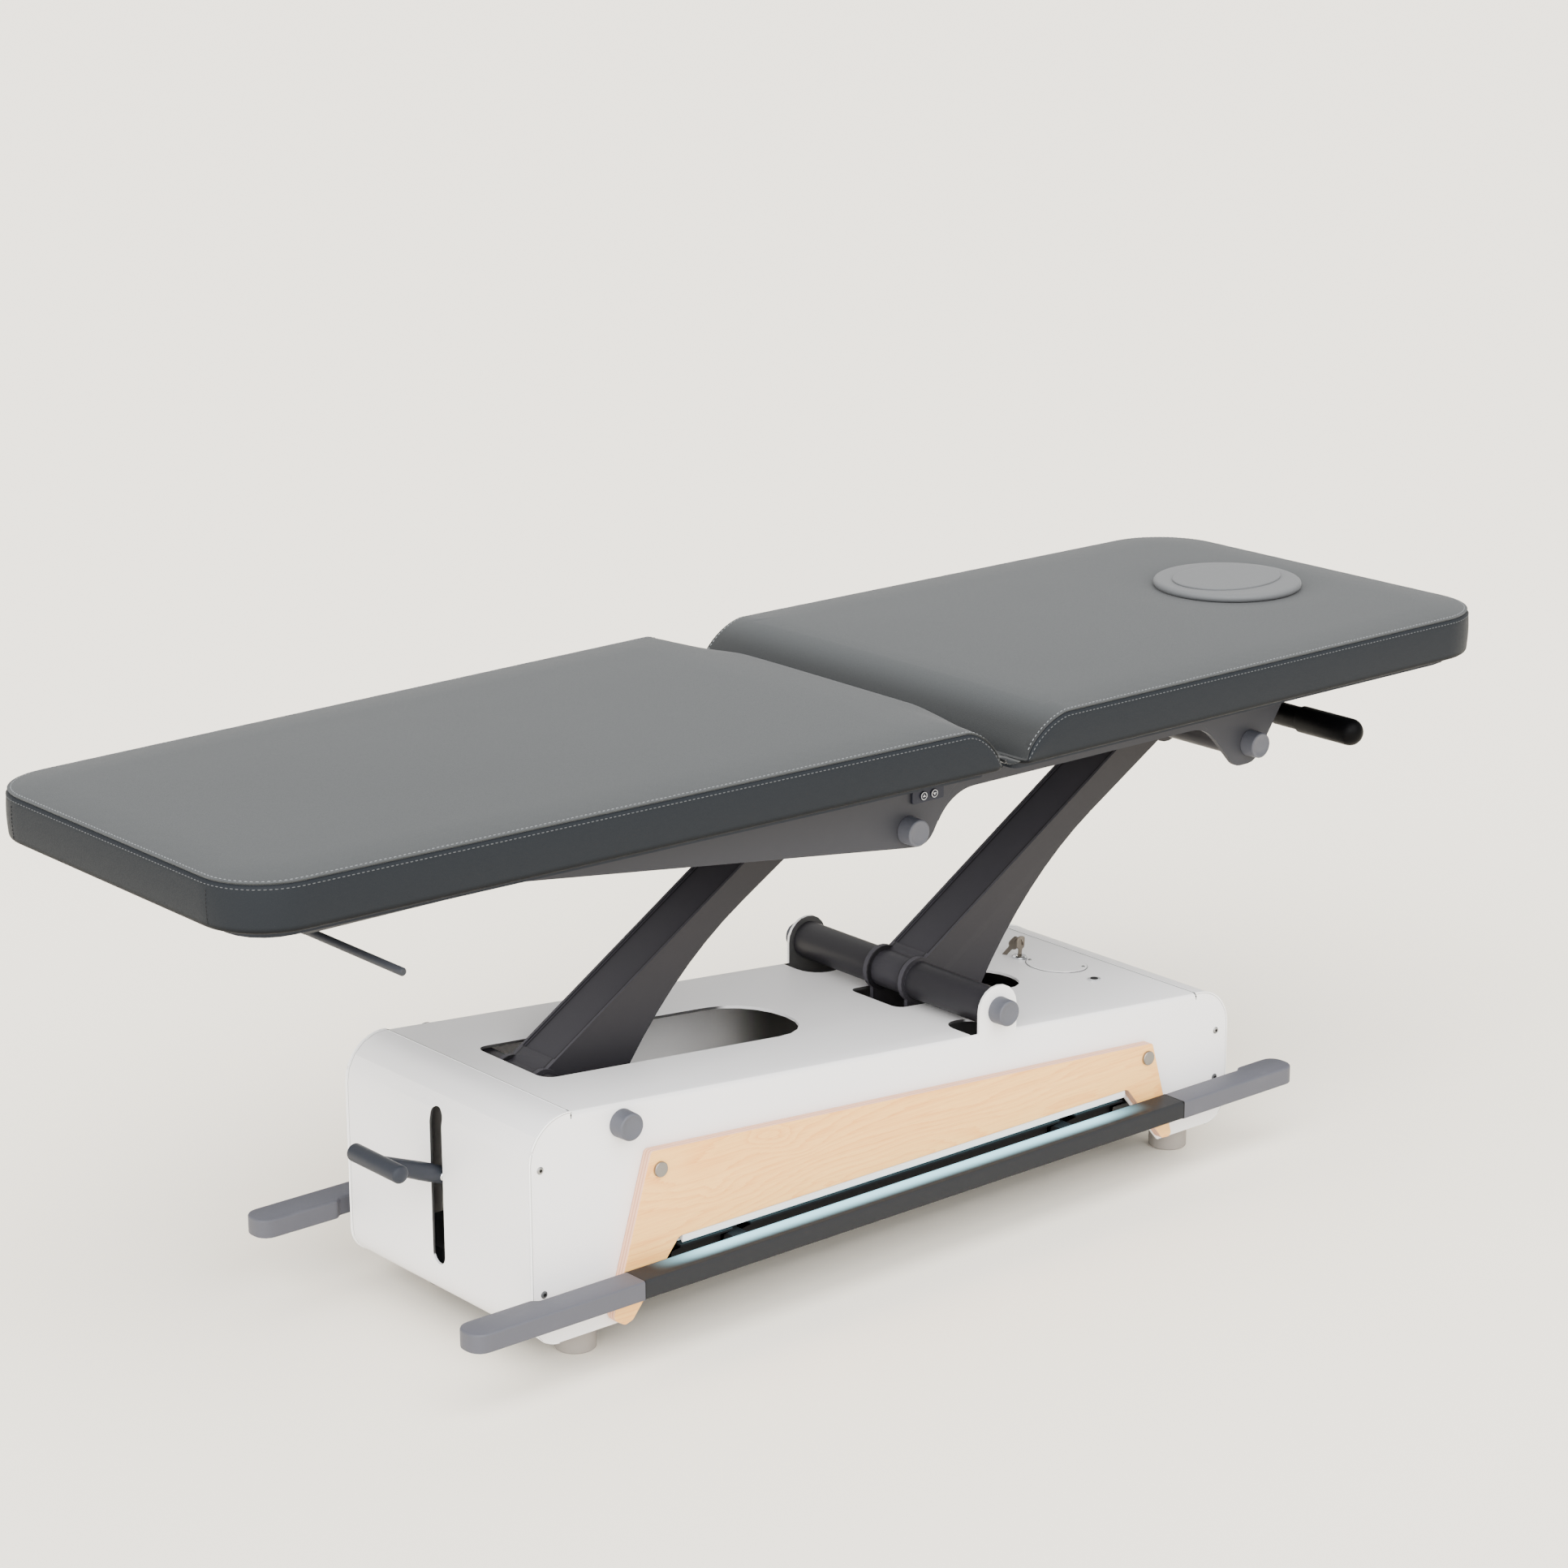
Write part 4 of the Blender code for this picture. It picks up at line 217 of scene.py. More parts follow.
class Nodes:
    """One node tree and the values in it."""

    def __init__(self, tree):
        self.tree = tree

    def node(self, kind, settings, sockets, out=0):
        """Any node: its type, its settings, the values or links of its sockets and the output wanted."""
        made = self.tree.nodes.new(kind)
        for key, value in settings.items():
            setattr(made, key, value)
        for key, value in sockets.items():
            found = [s for s in made.inputs if s.enabled and s.name == key]
            self.fill(made.inputs[key] if isinstance(key, int) else found[0], value)
        outputs = [s for s in made.outputs if s.enabled and s.name == out]
        return Value(self, made.outputs[out] if isinstance(out, int) else outputs[0])

    def fill(self, socket, value):
        """Link a value to a socket, or set it there."""
        if isinstance(value, Value):
            self.tree.links.new(value.socket, socket)
        elif isinstance(value, (tuple, list)) and len(value) == 3 and socket.type == "RGBA":
            socket.default_value = (*value, 1.0)
        else:
            socket.default_value = value

    def axis(self, name, vector):
        """One part of a vector."""
        return self.node("ShaderNodeSeparateXYZ", {}, {"Vector": vector}, name)


class Finish(Nodes):
    """One procedural material, read from Object coordinates."""

    def __init__(self, name, colour, roughness, metallic=0.0, gloss=0.5):
        colour = tuple(colour)
        self.material = bpy.data.materials.new(name)
        self.material.use_nodes = True
        super().__init__(self.material.node_tree)
        self.shader = self.tree.nodes["Principled BSDF"]
        self.material.diffuse_color = (*colour, 1.0)
        self.colour = colour
        self.set("Base Color", colour)
        self.set("Roughness", roughness)
        self.set("Metallic", metallic)
        self.set("Specular IOR Level", gloss)
        self.place = self.node("ShaderNodeTexCoord", {}, {}, "Object")
        FINISHES[name] = self

    def set(self, name, value):
        """Value or link of one of the shader's own sockets."""
        self.fill(self.shader.inputs[name], value)

    def stretched(self, x, y, z):
        """Object coordinates times three factors."""
        return self.node("ShaderNodeVectorMath", {"operation": "MULTIPLY"}, {0: self.place, 1: (x, y, z)})

    def noise(self, scale, detail=2.0, roughness=0.5, place=None):
        """Cloudy noise from 0 to 1."""
        return self.node("ShaderNodeTexNoise", {}, {"Vector": place or self.place, "Scale": scale,
                                                    "Detail": detail, "Roughness": roughness}, "Fac")

    def cells(self, scale, place=None):
        """Distance to the edge of irregular cells, from 0."""
        return self.node("ShaderNodeTexVoronoi", {"feature": "DISTANCE_TO_EDGE"},
                         {"Vector": place or self.place, "Scale": scale}, "Distance")

    def mix(self, share, first, second):
        """Colour between two colours."""
        return self.node("ShaderNodeMix", {"data_type": "RGBA"}, {"Factor": share, "A": first, "B": second},
                         "Result")

    def shaded(self, colour, share):
        """Colour made lighter or darker by a factor that changes over the surface."""
        grey = self.node("ShaderNodeCombineColor", {}, {"Red": share, "Green": share, "Blue": share}, "Color")
        return self.node("ShaderNodeMix", {"data_type": "RGBA", "blend_type": "MULTIPLY"},
                         {"Factor": 1.0, "A": colour, "B": grey}, "Result")

    def bump(self, height, distance, strength=1.0):
        """Surface relief from a height."""
        self.set("Normal", self.node("ShaderNodeBump", {}, {"Height": height, "Distance": distance,
                                                            "Strength": strength}, "Normal"))

    def along(self, name):
        """One Object coordinate."""
        return self.axis(name, self.place)

    def facing(self, name):
        """One part of the surface normal."""
        return self.axis(name, self.node("ShaderNodeNewGeometry", {}, {}, "Normal"))


def leather(name, colour, grain=1.0, gloss=0.24, dim=None):
    """Synthetic leather: pebbled cells with fine pores, faint cloudiness and a soft sheen.

    It may be given painted shade: darker by a share from one height down to another.
    """
    finish = Finish(name, colour, 0.5)
    pebbles = finish.cells(620.0).ramp(0.0, 0.34)
    pores = finish.noise(2600.0, 2.0)
    clouds = finish.noise(5.0, 3.0)
    share = 0.93 + 0.05 * pebbles + 0.07 * clouds
    # painted shade: the colour darkens by the loss share from the start height down to the end height
    if dim:
        start, end, loss = dim
        share = share * (1.0 - loss * finish.along("Z").ramp(start, end))
    finish.set("Base Color", finish.shaded(finish.colour, share))
    finish.set("Roughness", 0.60 - 0.10 * pebbles + 0.08 * pores)
    finish.bump(pebbles * 0.8 + pores * 0.35, 0.00016 * grain, 0.55)
    finish.set("Sheen Weight", 0.4 * gloss)
    finish.set("Sheen Roughness", 0.45)
    finish.set("Specular IOR Level", gloss)
    return finish


def powder_coat(name, colour, roughness, texture, gloss=0.4):
    """Powder coat: fine orange-peel relief, tiny specks and slight changes of gloss."""
    finish = Finish(name, colour, roughness, 0.0, gloss)
    peel = finish.noise(900.0, 2.0)
    specks = finish.noise(3400.0, 1.0)
    clouds = finish.noise(3.0, 2.0)
    share = 0.985 - 0.5 * texture + 0.03 * clouds + texture * specks
    finish.set("Base Color", finish.shaded(finish.colour, share))
    finish.set("Roughness", roughness - 0.05 + 0.10 * peel)
    finish.bump(peel + 0.6 * specks, 0.00010, 0.35 + texture)
    return finish


def housing_paint(name, colour):
    """Pale powder coat with painted shade on its inner faces: darker behind the lever slot, under the top and past the
    foot arm.
    """
    finish = powder_coat(name, colour, 0.38, 0.015)
    x, z = finish.along("X"), finish.along("Z")
    # painted shade: inner faces of the well darken just under the top and towards both ends
    within = (INNER_HALF - finish.along("Y").absolute()).ramp(0.0, 0.0006)
    inner = within * finish.facing("X").ramp(-0.4, -0.2) * (-1.0 * finish.facing("Z")).ramp(-0.4, -0.2)
    inner = inner * (1.0 - x.ramp(HEAD_SEAM - 0.008, HEAD_SEAM) * finish.facing("X").ramp(0.0, 0.1))
    under = (TOP_AT_ZERO - TOP_SLOPE * x - z).ramp(0.036, 0.018)
    dark = under + x.ramp(-0.40, -0.46) + x.ramp(0.0, 0.14)
    dim = 1.0 - 0.94 * inner * dark.ramp(0.0, 1.0)
    finish.set("Base Color", finish.shaded(finish.colour, dim * (0.97 + 0.03 * finish.noise(3.0, 2.0))))
    return finish


def moulded(name, colour, roughness, texture=0.06, gloss=0.3):
    """Moulded plastic: matt spark texture with a little rubbing along high spots."""
    finish = Finish(name, colour, roughness, 0.0, gloss)
    spark = finish.cells(1500.0).ramp(0.0, 0.5)
    rubbed = finish.noise(38.0, 4.0).ramp(0.55, 0.8)
    share = 1.0 - texture + texture * 1.6 * spark + 0.03 * rubbed
    finish.set("Base Color", finish.shaded(finish.colour, share))
    finish.set("Roughness", roughness - 0.10 * rubbed + 0.06 * spark)
    finish.bump(spark, 0.00008, 0.5)
    return finish


def brushed(name, colour, roughness, stretch=(4.0, 400.0, 400.0)):
    """Metal with fine lines along one direction."""
    finish = Finish(name, colour, roughness, 1.0)
    lines = finish.noise(6.0, 4.0, 0.6, finish.stretched(*stretch))
    smears = finish.noise(60.0, 2.0)
    finish.set("Base Color", finish.shaded(finish.colour, 0.86 + 0.20 * lines))
    finish.set("Roughness", roughness - 0.06 + 0.14 * lines + 0.05 * smears)
    finish.bump(lines, 0.00004, 0.4)
    return finish


def panel_wood(name, light, dark, ply):
    """Pale veneer: long wavy rings and pores along X on the faces, and glued layers across Y in the edges."""
    finish = Finish(name, light, 0.48)
    figure = finish.noise(1.0, 2.0, 0.5, finish.stretched(2.2, 2.0, 9.0))
    knots = finish.noise(1.0, 1.0, 0.5, finish.stretched(7.0, 2.0, 14.0)).ramp(0.62, 0.85)
    streaks = finish.noise(1.0, 3.0, 0.6, finish.stretched(5.0, 30.0, 260.0))
    rings = (finish.along("Z") * 62.0 + figure * 15.0 + knots * 3.0 + streaks * 0.9).fraction() ** 2.5
    pores = finish.noise(1.0, 2.0, 0.5, finish.stretched(30.0, 500.0, 1700.0)).ramp(0.58, 0.72)
    broad = finish.noise(1.0, 2.0, 0.5, finish.stretched(2.0, 2.0, 26.0))
    share = rings * (0.10 + 0.46 * broad) + streaks * 0.44 + broad * 0.16 - 0.08
    face = finish.mix(share, light, dark)
    face = finish.mix(pores * 0.26, face, tuple(0.62 * c for c in dark))
    layer = (finish.along("Y") * (math.pi / ply)).sine().ramp(-0.4, 0.4)
    edge = finish.mix(layer * 0.7, tone(208, 150, 122), tone(240, 196, 160))
    on_face = finish.facing("Y").absolute() > 0.75
    finish.set("Base Color", finish.mix(on_face, edge, face))
    finish.set("Roughness", 0.40 + 0.14 * streaks + 0.12 * pores)
    finish.bump(streaks * 0.5 - pores, 0.00012, 0.5)
    finish.set("Coat Weight", 0.10)
    finish.set("Coat Roughness", 0.35)
    return finish


def hidden_wood(name):
    """Dark-stained board under the padding: dull grain along X."""
    finish = Finish(name, tone(38, 41, 46), 0.62, 0.0, 0.15)
    grain = finish.noise(1.0, 3.0, 0.6, finish.stretched(4.0, 120.0, 120.0))
    finish.set("Base Color", finish.mix(grain, tone(43, 47, 54), tone(28, 31, 37)))
    finish.bump(grain, 0.0002, 0.4)
    return finish


def diffuser(name, colour, strength):
    """Frosted light strip: bright, with faint spots of the single lamps behind it."""
    finish = Finish(name, tone(236, 242, 244), 0.4)
    spots = (finish.along("X") * (2.0 * math.pi / 0.0125)).sine() * 0.06 + 0.94
    finish.set("Emission Color", finish.shaded(tuple(colour), spots))
    finish.set("Emission Strength", strength)
    return finish


def plastic_with_painted_glow(name, colour, glow, strength):
    """Satin plastic of a foot bar with a painted glow: its top emits light that stands for the light and reflection of
    the strip above it.

    The painted glow fades from the inner edge outwards and towards both ends of the strip.
    """
    finish = moulded(name, colour, 0.46, 0.06, 0.04)
    out = finish.along("Y").absolute()
    inner = (1.0 - out.ramp(0.220, 0.242)) * out.ramp(0.2100, 0.2150)
    ends = finish.along("X")
    along = ends.ramp(-0.415, -0.300) * (1.0 - ends.ramp(0.330, 0.440))
    up = finish.facing("Z").ramp(0.55, 0.95)
    # painted light: emission on the top face stands for the strip's light pool and reflection
    finish.set("Emission Color", finish.shaded(tuple(glow), inner * along * up))
    finish.set("Emission Strength", strength)
    return finish


def vinyl(name, colour):
    """Thin glossy sheet with fine creases."""
    finish = Finish(name, colour, 0.16)
    creases = finish.noise(1.0, 3.0, 0.6, finish.stretched(160.0, 60.0, 160.0))
    finish.set("Base Color", finish.shaded(finish.colour, 0.9 + 0.2 * creases))
    finish.set("Roughness", 0.12 + 0.14 * creases)
    finish.bump(creases, 0.0006, 0.5)
    finish.set("Coat Weight", 0.4)
    return finish


def arm_paint(name, colour):
    """Dark textured powder coat with painted light: the folded web is painted much lighter than the flat sides, the
    edges of the side plates get a painted highlight and a groove inside them a painted shadow.
    """
    finish = powder_coat(name, colour, 0.48, 0.16, 0.2)
    specks = finish.noise(3400.0, 1.0)
    # painted light: the flat sides are made darker than the folded web
    flank = finish.facing("Y").absolute().ramp(0.55, 0.9)
    out = finish.along("Y").absolute()
    # painted highlight on the edge faces of the side plates
    rim = out.ramp(0.0306, 0.0314) * (1.0 - flank)
    # painted shadow in the groove just inside them
    groove = out.ramp(0.0272, 0.0298) * (1.0 - out.ramp(0.0306, 0.0314))
    share = (1.80 - 0.85 * flank + 0.9 * rim) * (1.0 - 0.7 * groove)
    finish.set("Base Color", finish.shaded(finish.colour, share * (0.85 + 0.30 * specks)))
    return finish


def make_finishes(scene):
    """Every finish that the pieces share."""
    pad, paint, wood, light = scene.table_pad, scene.table_paint, scene.table_wood, scene.table_light
    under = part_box("front_cushion")[0].z
    # painted shade: the top leather darkens with depth, down the rolls into the gap and a little in the seam groove
    leather("top_leather", pad.leather, dim=(under + 0.066, under + 0.034, 0.60))
    # painted shade: the band darkens at its bottom roll
    leather("band_leather", pad.band, 1.0, 0.08, (under + 0.009, under + 0.001, 0.8))
    leather("plug_leather", pad.plug, 0.7)
    moulded("thread", pad.thread, 0.7, 0.12)
    # painted shade: the lower row's thread is the same thread made darker
    moulded("band_thread", tuple(0.46 * c for c in pad.thread), 0.8, 0.12, 0.1)
    moulded("dark_thread", tuple(0.35 * c for c in pad.band), 0.8, 0.12)
    housing_paint("housing_coat", paint.housing)
    # painted highlight: white rods along the cover edges and beside the top seams
    powder_coat("edge_coat", tone(255, 255, 255), 0.25, 0.01)
    powder_coat("seam_shade", tone(150, 149, 149), 0.5, 0.01)
    powder_coat("disc_line", tone(104, 104, 106), 0.5, 0.01)
    arm_paint("arm_coat", paint.arm)
    powder_coat("tube_coat", paint.arm, 0.42, 0.10, 0.22)
    vinyl("gusset_vinyl", tone(38, 40, 42))
    powder_coat("plate_coat", paint.plate, 0.50, 0.07, 0.15)
    powder_coat("frame_coat", tone(62, 63, 65), 0.52, 0.10)
    powder_coat("roll_bar_coat", tone(44, 46, 51), 0.40, 0.08, 0.2)
    moulded("cap_plastic", paint.cap, 0.52)
    moulded("tip_plastic", paint.tip, 0.50)
    # painted light: the foot bars' tops glow with the strips' light and reflection
    plastic_with_painted_glow("bar_plastic", paint.bar, light.glow, 2.6)
    # painted reflection: the aluminium lip is given a white colour for its bright look
    moulded("lip_paint", tone(226, 226, 226), 0.35, 0.02)
    moulded("black_plastic", paint.black, 0.42, 0.06, 0.05)
    # painted shade: dark sheet in the recess behind the foot bars
    moulded("liner_plastic", tone(27, 27, 29), 0.6, 0.3, 0.08)
    moulded("lever_plastic", tone(43, 46, 53), 0.42, 0.06, 0.14)
    moulded("grey_plastic", tone(70, 71, 73), 0.48)
    moulded("button_plastic", tone(39, 41, 51), 0.45, 0.06, 0.15)
    moulded("foot_plastic", paint.foot, 0.55)
    moulded("wheel_rubber", tone(48, 48, 50), 0.62)
    moulded("white_print", tone(232, 234, 238), 0.5, 0.02)
    moulded("dark_hole", tone(10, 10, 11), 0.7)
    brushed("chrome", tone(222, 224, 228), 0.10)
    brushed("steel", tone(150, 150, 150), 0.30)
    brushed("panel_steel", tone(140, 137, 133), 0.40, (300.0, 300.0, 300.0))
    brushed("key_metal", tone(132, 124, 114), 0.28, (200.0, 40.0, 40.0))
    panel_wood("panel_wood", tuple(wood.light), tuple(wood.dark), wood.ply)
    hidden_wood("board_wood")
    diffuser("diffuser", light.glow, light.strength)


# Copies of CAD nodes: distance of joined points, angle of joined faces, crease in degrees
MERGE = 2e-5
FLAT = math.radians(0.4)
CREASE = 38.0


def middle(node):
    """Middle of a CAD node's box."""
    low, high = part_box(node)
    return np.array((low + high) / 2)


def dress(made, body, finish, replaced=()):
    """Finish, body and replaced nodes of a new piece."""
    for name in [finish] if isinstance(finish, str) else finish:
        made.data.materials.append(FINISHES[name].material)
    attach(made, body)
    if replaced:
        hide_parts(*replaced)
    return made


def mesh_object(name, shape, sharp):
    """Object of a bmesh with soft faces and sharp edges above an angle in degrees."""
    mesh = bpy.data.meshes.new(name)
    shape.to_mesh(mesh)
    shape.free()
    mesh.shade_smooth()
    mesh.set_sharp_from_angle(angle=math.radians(sharp))
    made = bpy.data.objects.new(name, mesh)
    bpy.context.scene.collection.objects.link(made)
    return made


def skin(name, grids, sharp=40.0, wrap=True, around=False, finish_rows=None):
    """Closed piece from one or more grids of points of one shape, row by row.

    A point of a grid is joined to the next in its row and in the next row; wrap closes the rows on themselves and
    around closes the last row onto the first. Doubles are merged, which closes poles, and faces are turned outwards.
    finish_rows gives the finish number of each row of faces.
    """
    grids = np.asarray(grids)
    count, rows, columns = grids.shape[:3]
    row = np.arange(rows if around else rows - 1)
    column = np.arange(columns if wrap else columns - 1)
    r, c = np.meshgrid(row, column, indexing="ij")
    after_r, after_c = (r + 1) % rows, (c + 1) % columns
    quads = np.stack([r * columns + c, r * columns + after_c, after_r * columns + after_c, after_r * columns + c], -1)
    quads = quads.reshape(1, -1, 4) + (np.arange(count) * rows * columns)[:, None, None]
    held = bpy.data.meshes.new("held")
    held.from_pydata(grids.reshape(-1, 3).tolist(), [], quads.reshape(-1, 4).tolist())
    if finish_rows is not None:
        held.polygons.foreach_set("material_index",
                                  np.repeat(np.asarray(finish_rows)[row], len(column)).astype(np.int32))
    shape = bmesh.new()
    shape.from_mesh(held)
    bpy.data.meshes.remove(held)
    bmesh.ops.remove_doubles(shape, verts=shape.verts, dist=1e-6)
    bmesh.ops.recalc_face_normals(shape, faces=shape.faces)
    return mesh_object(name, shape, sharp)


def piece(name, body, finish, slot, grid, sharp=40.0, replaced=(), **joins):
    """Dressed piece from one grid of points."""
    return dress(skin(name, [grid], sharp, **joins), body, finish, replaced)


def copy_node(node, name, finish, edge=0.0):
    """Replace a CAD node by a copy with its triangles joined to whole faces and its edges rounded."""
    shape = bmesh.new()
    shape.from_mesh(NODES[node].data)
    bmesh.ops.remove_doubles(shape, verts=shape.verts, dist=MERGE)
    bmesh.ops.dissolve_limit(shape, angle_limit=FLAT, verts=shape.verts, edges=shape.edges)
    made = mesh_object(name, shape, CREASE)
    if edge > 0.0:
        soft = made.modifiers.new("Edges", "BEVEL")
        soft.width = edge
        soft.segments = 2
        soft.limit_method = "ANGLE"
        soft.angle_limit = math.radians(CREASE)
        soft.harden_normals = True
    dress(made, NODES[node]["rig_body"], finish, [node])


def unit(vectors):
    """Vectors of length one."""
    return vectors / np.linalg.norm(vectors, axis=-1, keepdims=True)


def read_along(spots, walk, path):
    """Points of a path at distances along it, from the distances of its own points."""
    return np.stack([np.interp(spots, walk, column) for column in path.T], -1)


def circle(count):
    """Angles of evenly spaced points round a circle."""
    return np.arange(count) * (2.0 * np.pi / count)


def frame_of(axis):
    """Two directions across an axis and the axis itself, right-handed."""
    along = unit(np.asarray(axis, float))
    side = unit(np.cross(along, (0.0, 0.0, 1.0) if abs(along[2]) < 0.9 else (0.0, 1.0, 0.0)))
    return side, np.cross(along, side), along


def turned(profile, centre, axis, sides, ripple=None):
    """Surface of revolution: a radius and an offset along the axis, carried round it.

    The radius times the cosine and sine of the angle goes across the axis. ripple is a factor for each angle and row.
    """
    profile = np.asarray(profile, float)
    side, across, along = frame_of(axis)
    angle = circle(sides)
    radius = profile[:, :1] * (np.ones((len(profile), sides)) if ripple is None else ripple(angle))
    return (np.asarray(centre, float) + radius[..., None] * (np.cos(angle)[None, :, None] * side
            + np.sin(angle)[None, :, None] * across) + profile[:, 1][:, None, None] * along)


def arc(start, end, centre, radius, steps):
    """Points of an arc between two angles, as (radius, offset) pairs."""
    angle = np.linspace(start, end, steps)
    return [(centre[0] + radius * math.cos(a), centre[1] + radius * math.sin(a)) for a in angle]


def swept(path, radius, sides):
    """Round section carried along a path, closed at both ends by rows of no radius.

    Each row of points is the path's point plus the radius times the cosine and sine of the angle across the path.
    """
    path = np.asarray(path, float)
    radius = np.broadcast_to(np.asarray(radius, float), (len(path),))
    run = unit(np.gradient(path, axis=0))
    lift = np.where(np.abs(run[:, 2:]) > 0.95, (1.0, 0.0, 0.0), (0.0, 0.0, 1.0))
    side = unit(np.cross(run, lift))
    lift = np.cross(side, run)
    angle = circle(sides)
    ring = np.cos(angle)[None, :, None] * side[:, None] + np.sin(angle)[None, :, None] * lift[:, None]
    rows = path[:, None] + radius[:, None, None] * ring
    ends = np.repeat(path[[0, -1], None], sides, axis=1)
    return np.concatenate([ends[:1], rows, ends[1:]])


def rounded(corners, spacing, arc_steps):
    """Closed outline with rounded corners from (x, y, radius) corners taken left-handed turn by turn.

    Straight runs are divided evenly at about the spacing. Returns points, inward normals and the corner number plus
    the share of that corner's turn that is done.
    """
    corners = [np.array(c, float) for c in corners]
    count = len(corners)
    points, normals, turns, arcs = [], [], [], []
    for index, corner in enumerate(corners):
        here = corner[:2]
        before = corners[index - 1][:2] - here
        after = corners[(index + 1) % count][:2] - here
        before, after = before / np.linalg.norm(before), after / np.linalg.norm(after)
        half = math.acos(np.clip(before @ after, -1, 1)) / 2
        centre = here + (before + after) / np.linalg.norm(before + after) * corner[2] / math.sin(half)
        start = here + before * corner[2] / math.tan(half) - centre
        turn = math.pi - 2 * half
        angle = math.atan2(start[1], start[0]) + turn * np.linspace(0.0, 1.0, arc_steps)
        way = np.stack([np.cos(angle), np.sin(angle)], -1)
        arcs.append((centre + corner[2] * way, -way))
    for index in range(count):
        spot, inward = arcs[index]
        points.append(spot)
        normals.append(inward)
        turns.append(index + np.linspace(0.0, 1.0, arc_steps))
        start, end = spot[-1], arcs[(index + 1) % count][0][0]
        steps = max(2, round(np.linalg.norm(end - start) / spacing))
        share = np.linspace(0.0, 1.0, steps + 1)[1:-1]
        points.append(start + share[:, None] * (end - start))
        normals.append(np.repeat(inward[-1:], len(share), axis=0))
        turns.append(np.full(len(share), index + 1.0))
    return np.concatenate(points), np.concatenate(normals), np.concatenate(turns)


# Tabletop
FRONT_LOW, FRONT_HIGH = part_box("front_cushion")
HEAD_LOW, HEAD_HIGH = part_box("head_cushion")
UNDERSIDE = FRONT_LOW.z
SEAM_RISE = 0.0555
FOOT_HALF = 0.280
HEAD_HALF = HEAD_HIGH.y
FOOT_CORNER = 0.085
HEAD_CORNER = 0.100
GAP_CORNER = 0.016
GAP_START = 0.0072
GAP_REACH = 0.13
FRONT_FALL = 0.054
HEAD_FALL = 0.072
FRONT_ROUND = 0.024
FRONT_SIDE = 0.16
PILLOW_START = 0.0022
CROWN_REACH = 0.26
PUCKER_RISE = 0.00022
PUCKER_REACH = 0.030
WAVE_RISE = 0.00035
HEAD_EASE = 0.4
PLUG_X = 0.800
PLUG = np.array((PLUG_X, 0.0))
HOLE = 0.095
HOLE_DIP = 0.0018
LIP = 0.006
PLUG_SEAT = UNDERSIDE + 0.0623
GUSSET_HALF = 0.0006
GUSSET_FLOOR = 0.0040
BAND_EDGE = 0.005
BAND_INSET = 0.0014
SEAM_INSET = 0.0010
TOP_INSET = 0.0030
TOP_ROWS = (TOP_INSET, 0.0042, 0.0056, 0.0070, 0.0090, 0.0115, 0.0140)
FINE_REACH = 0.060


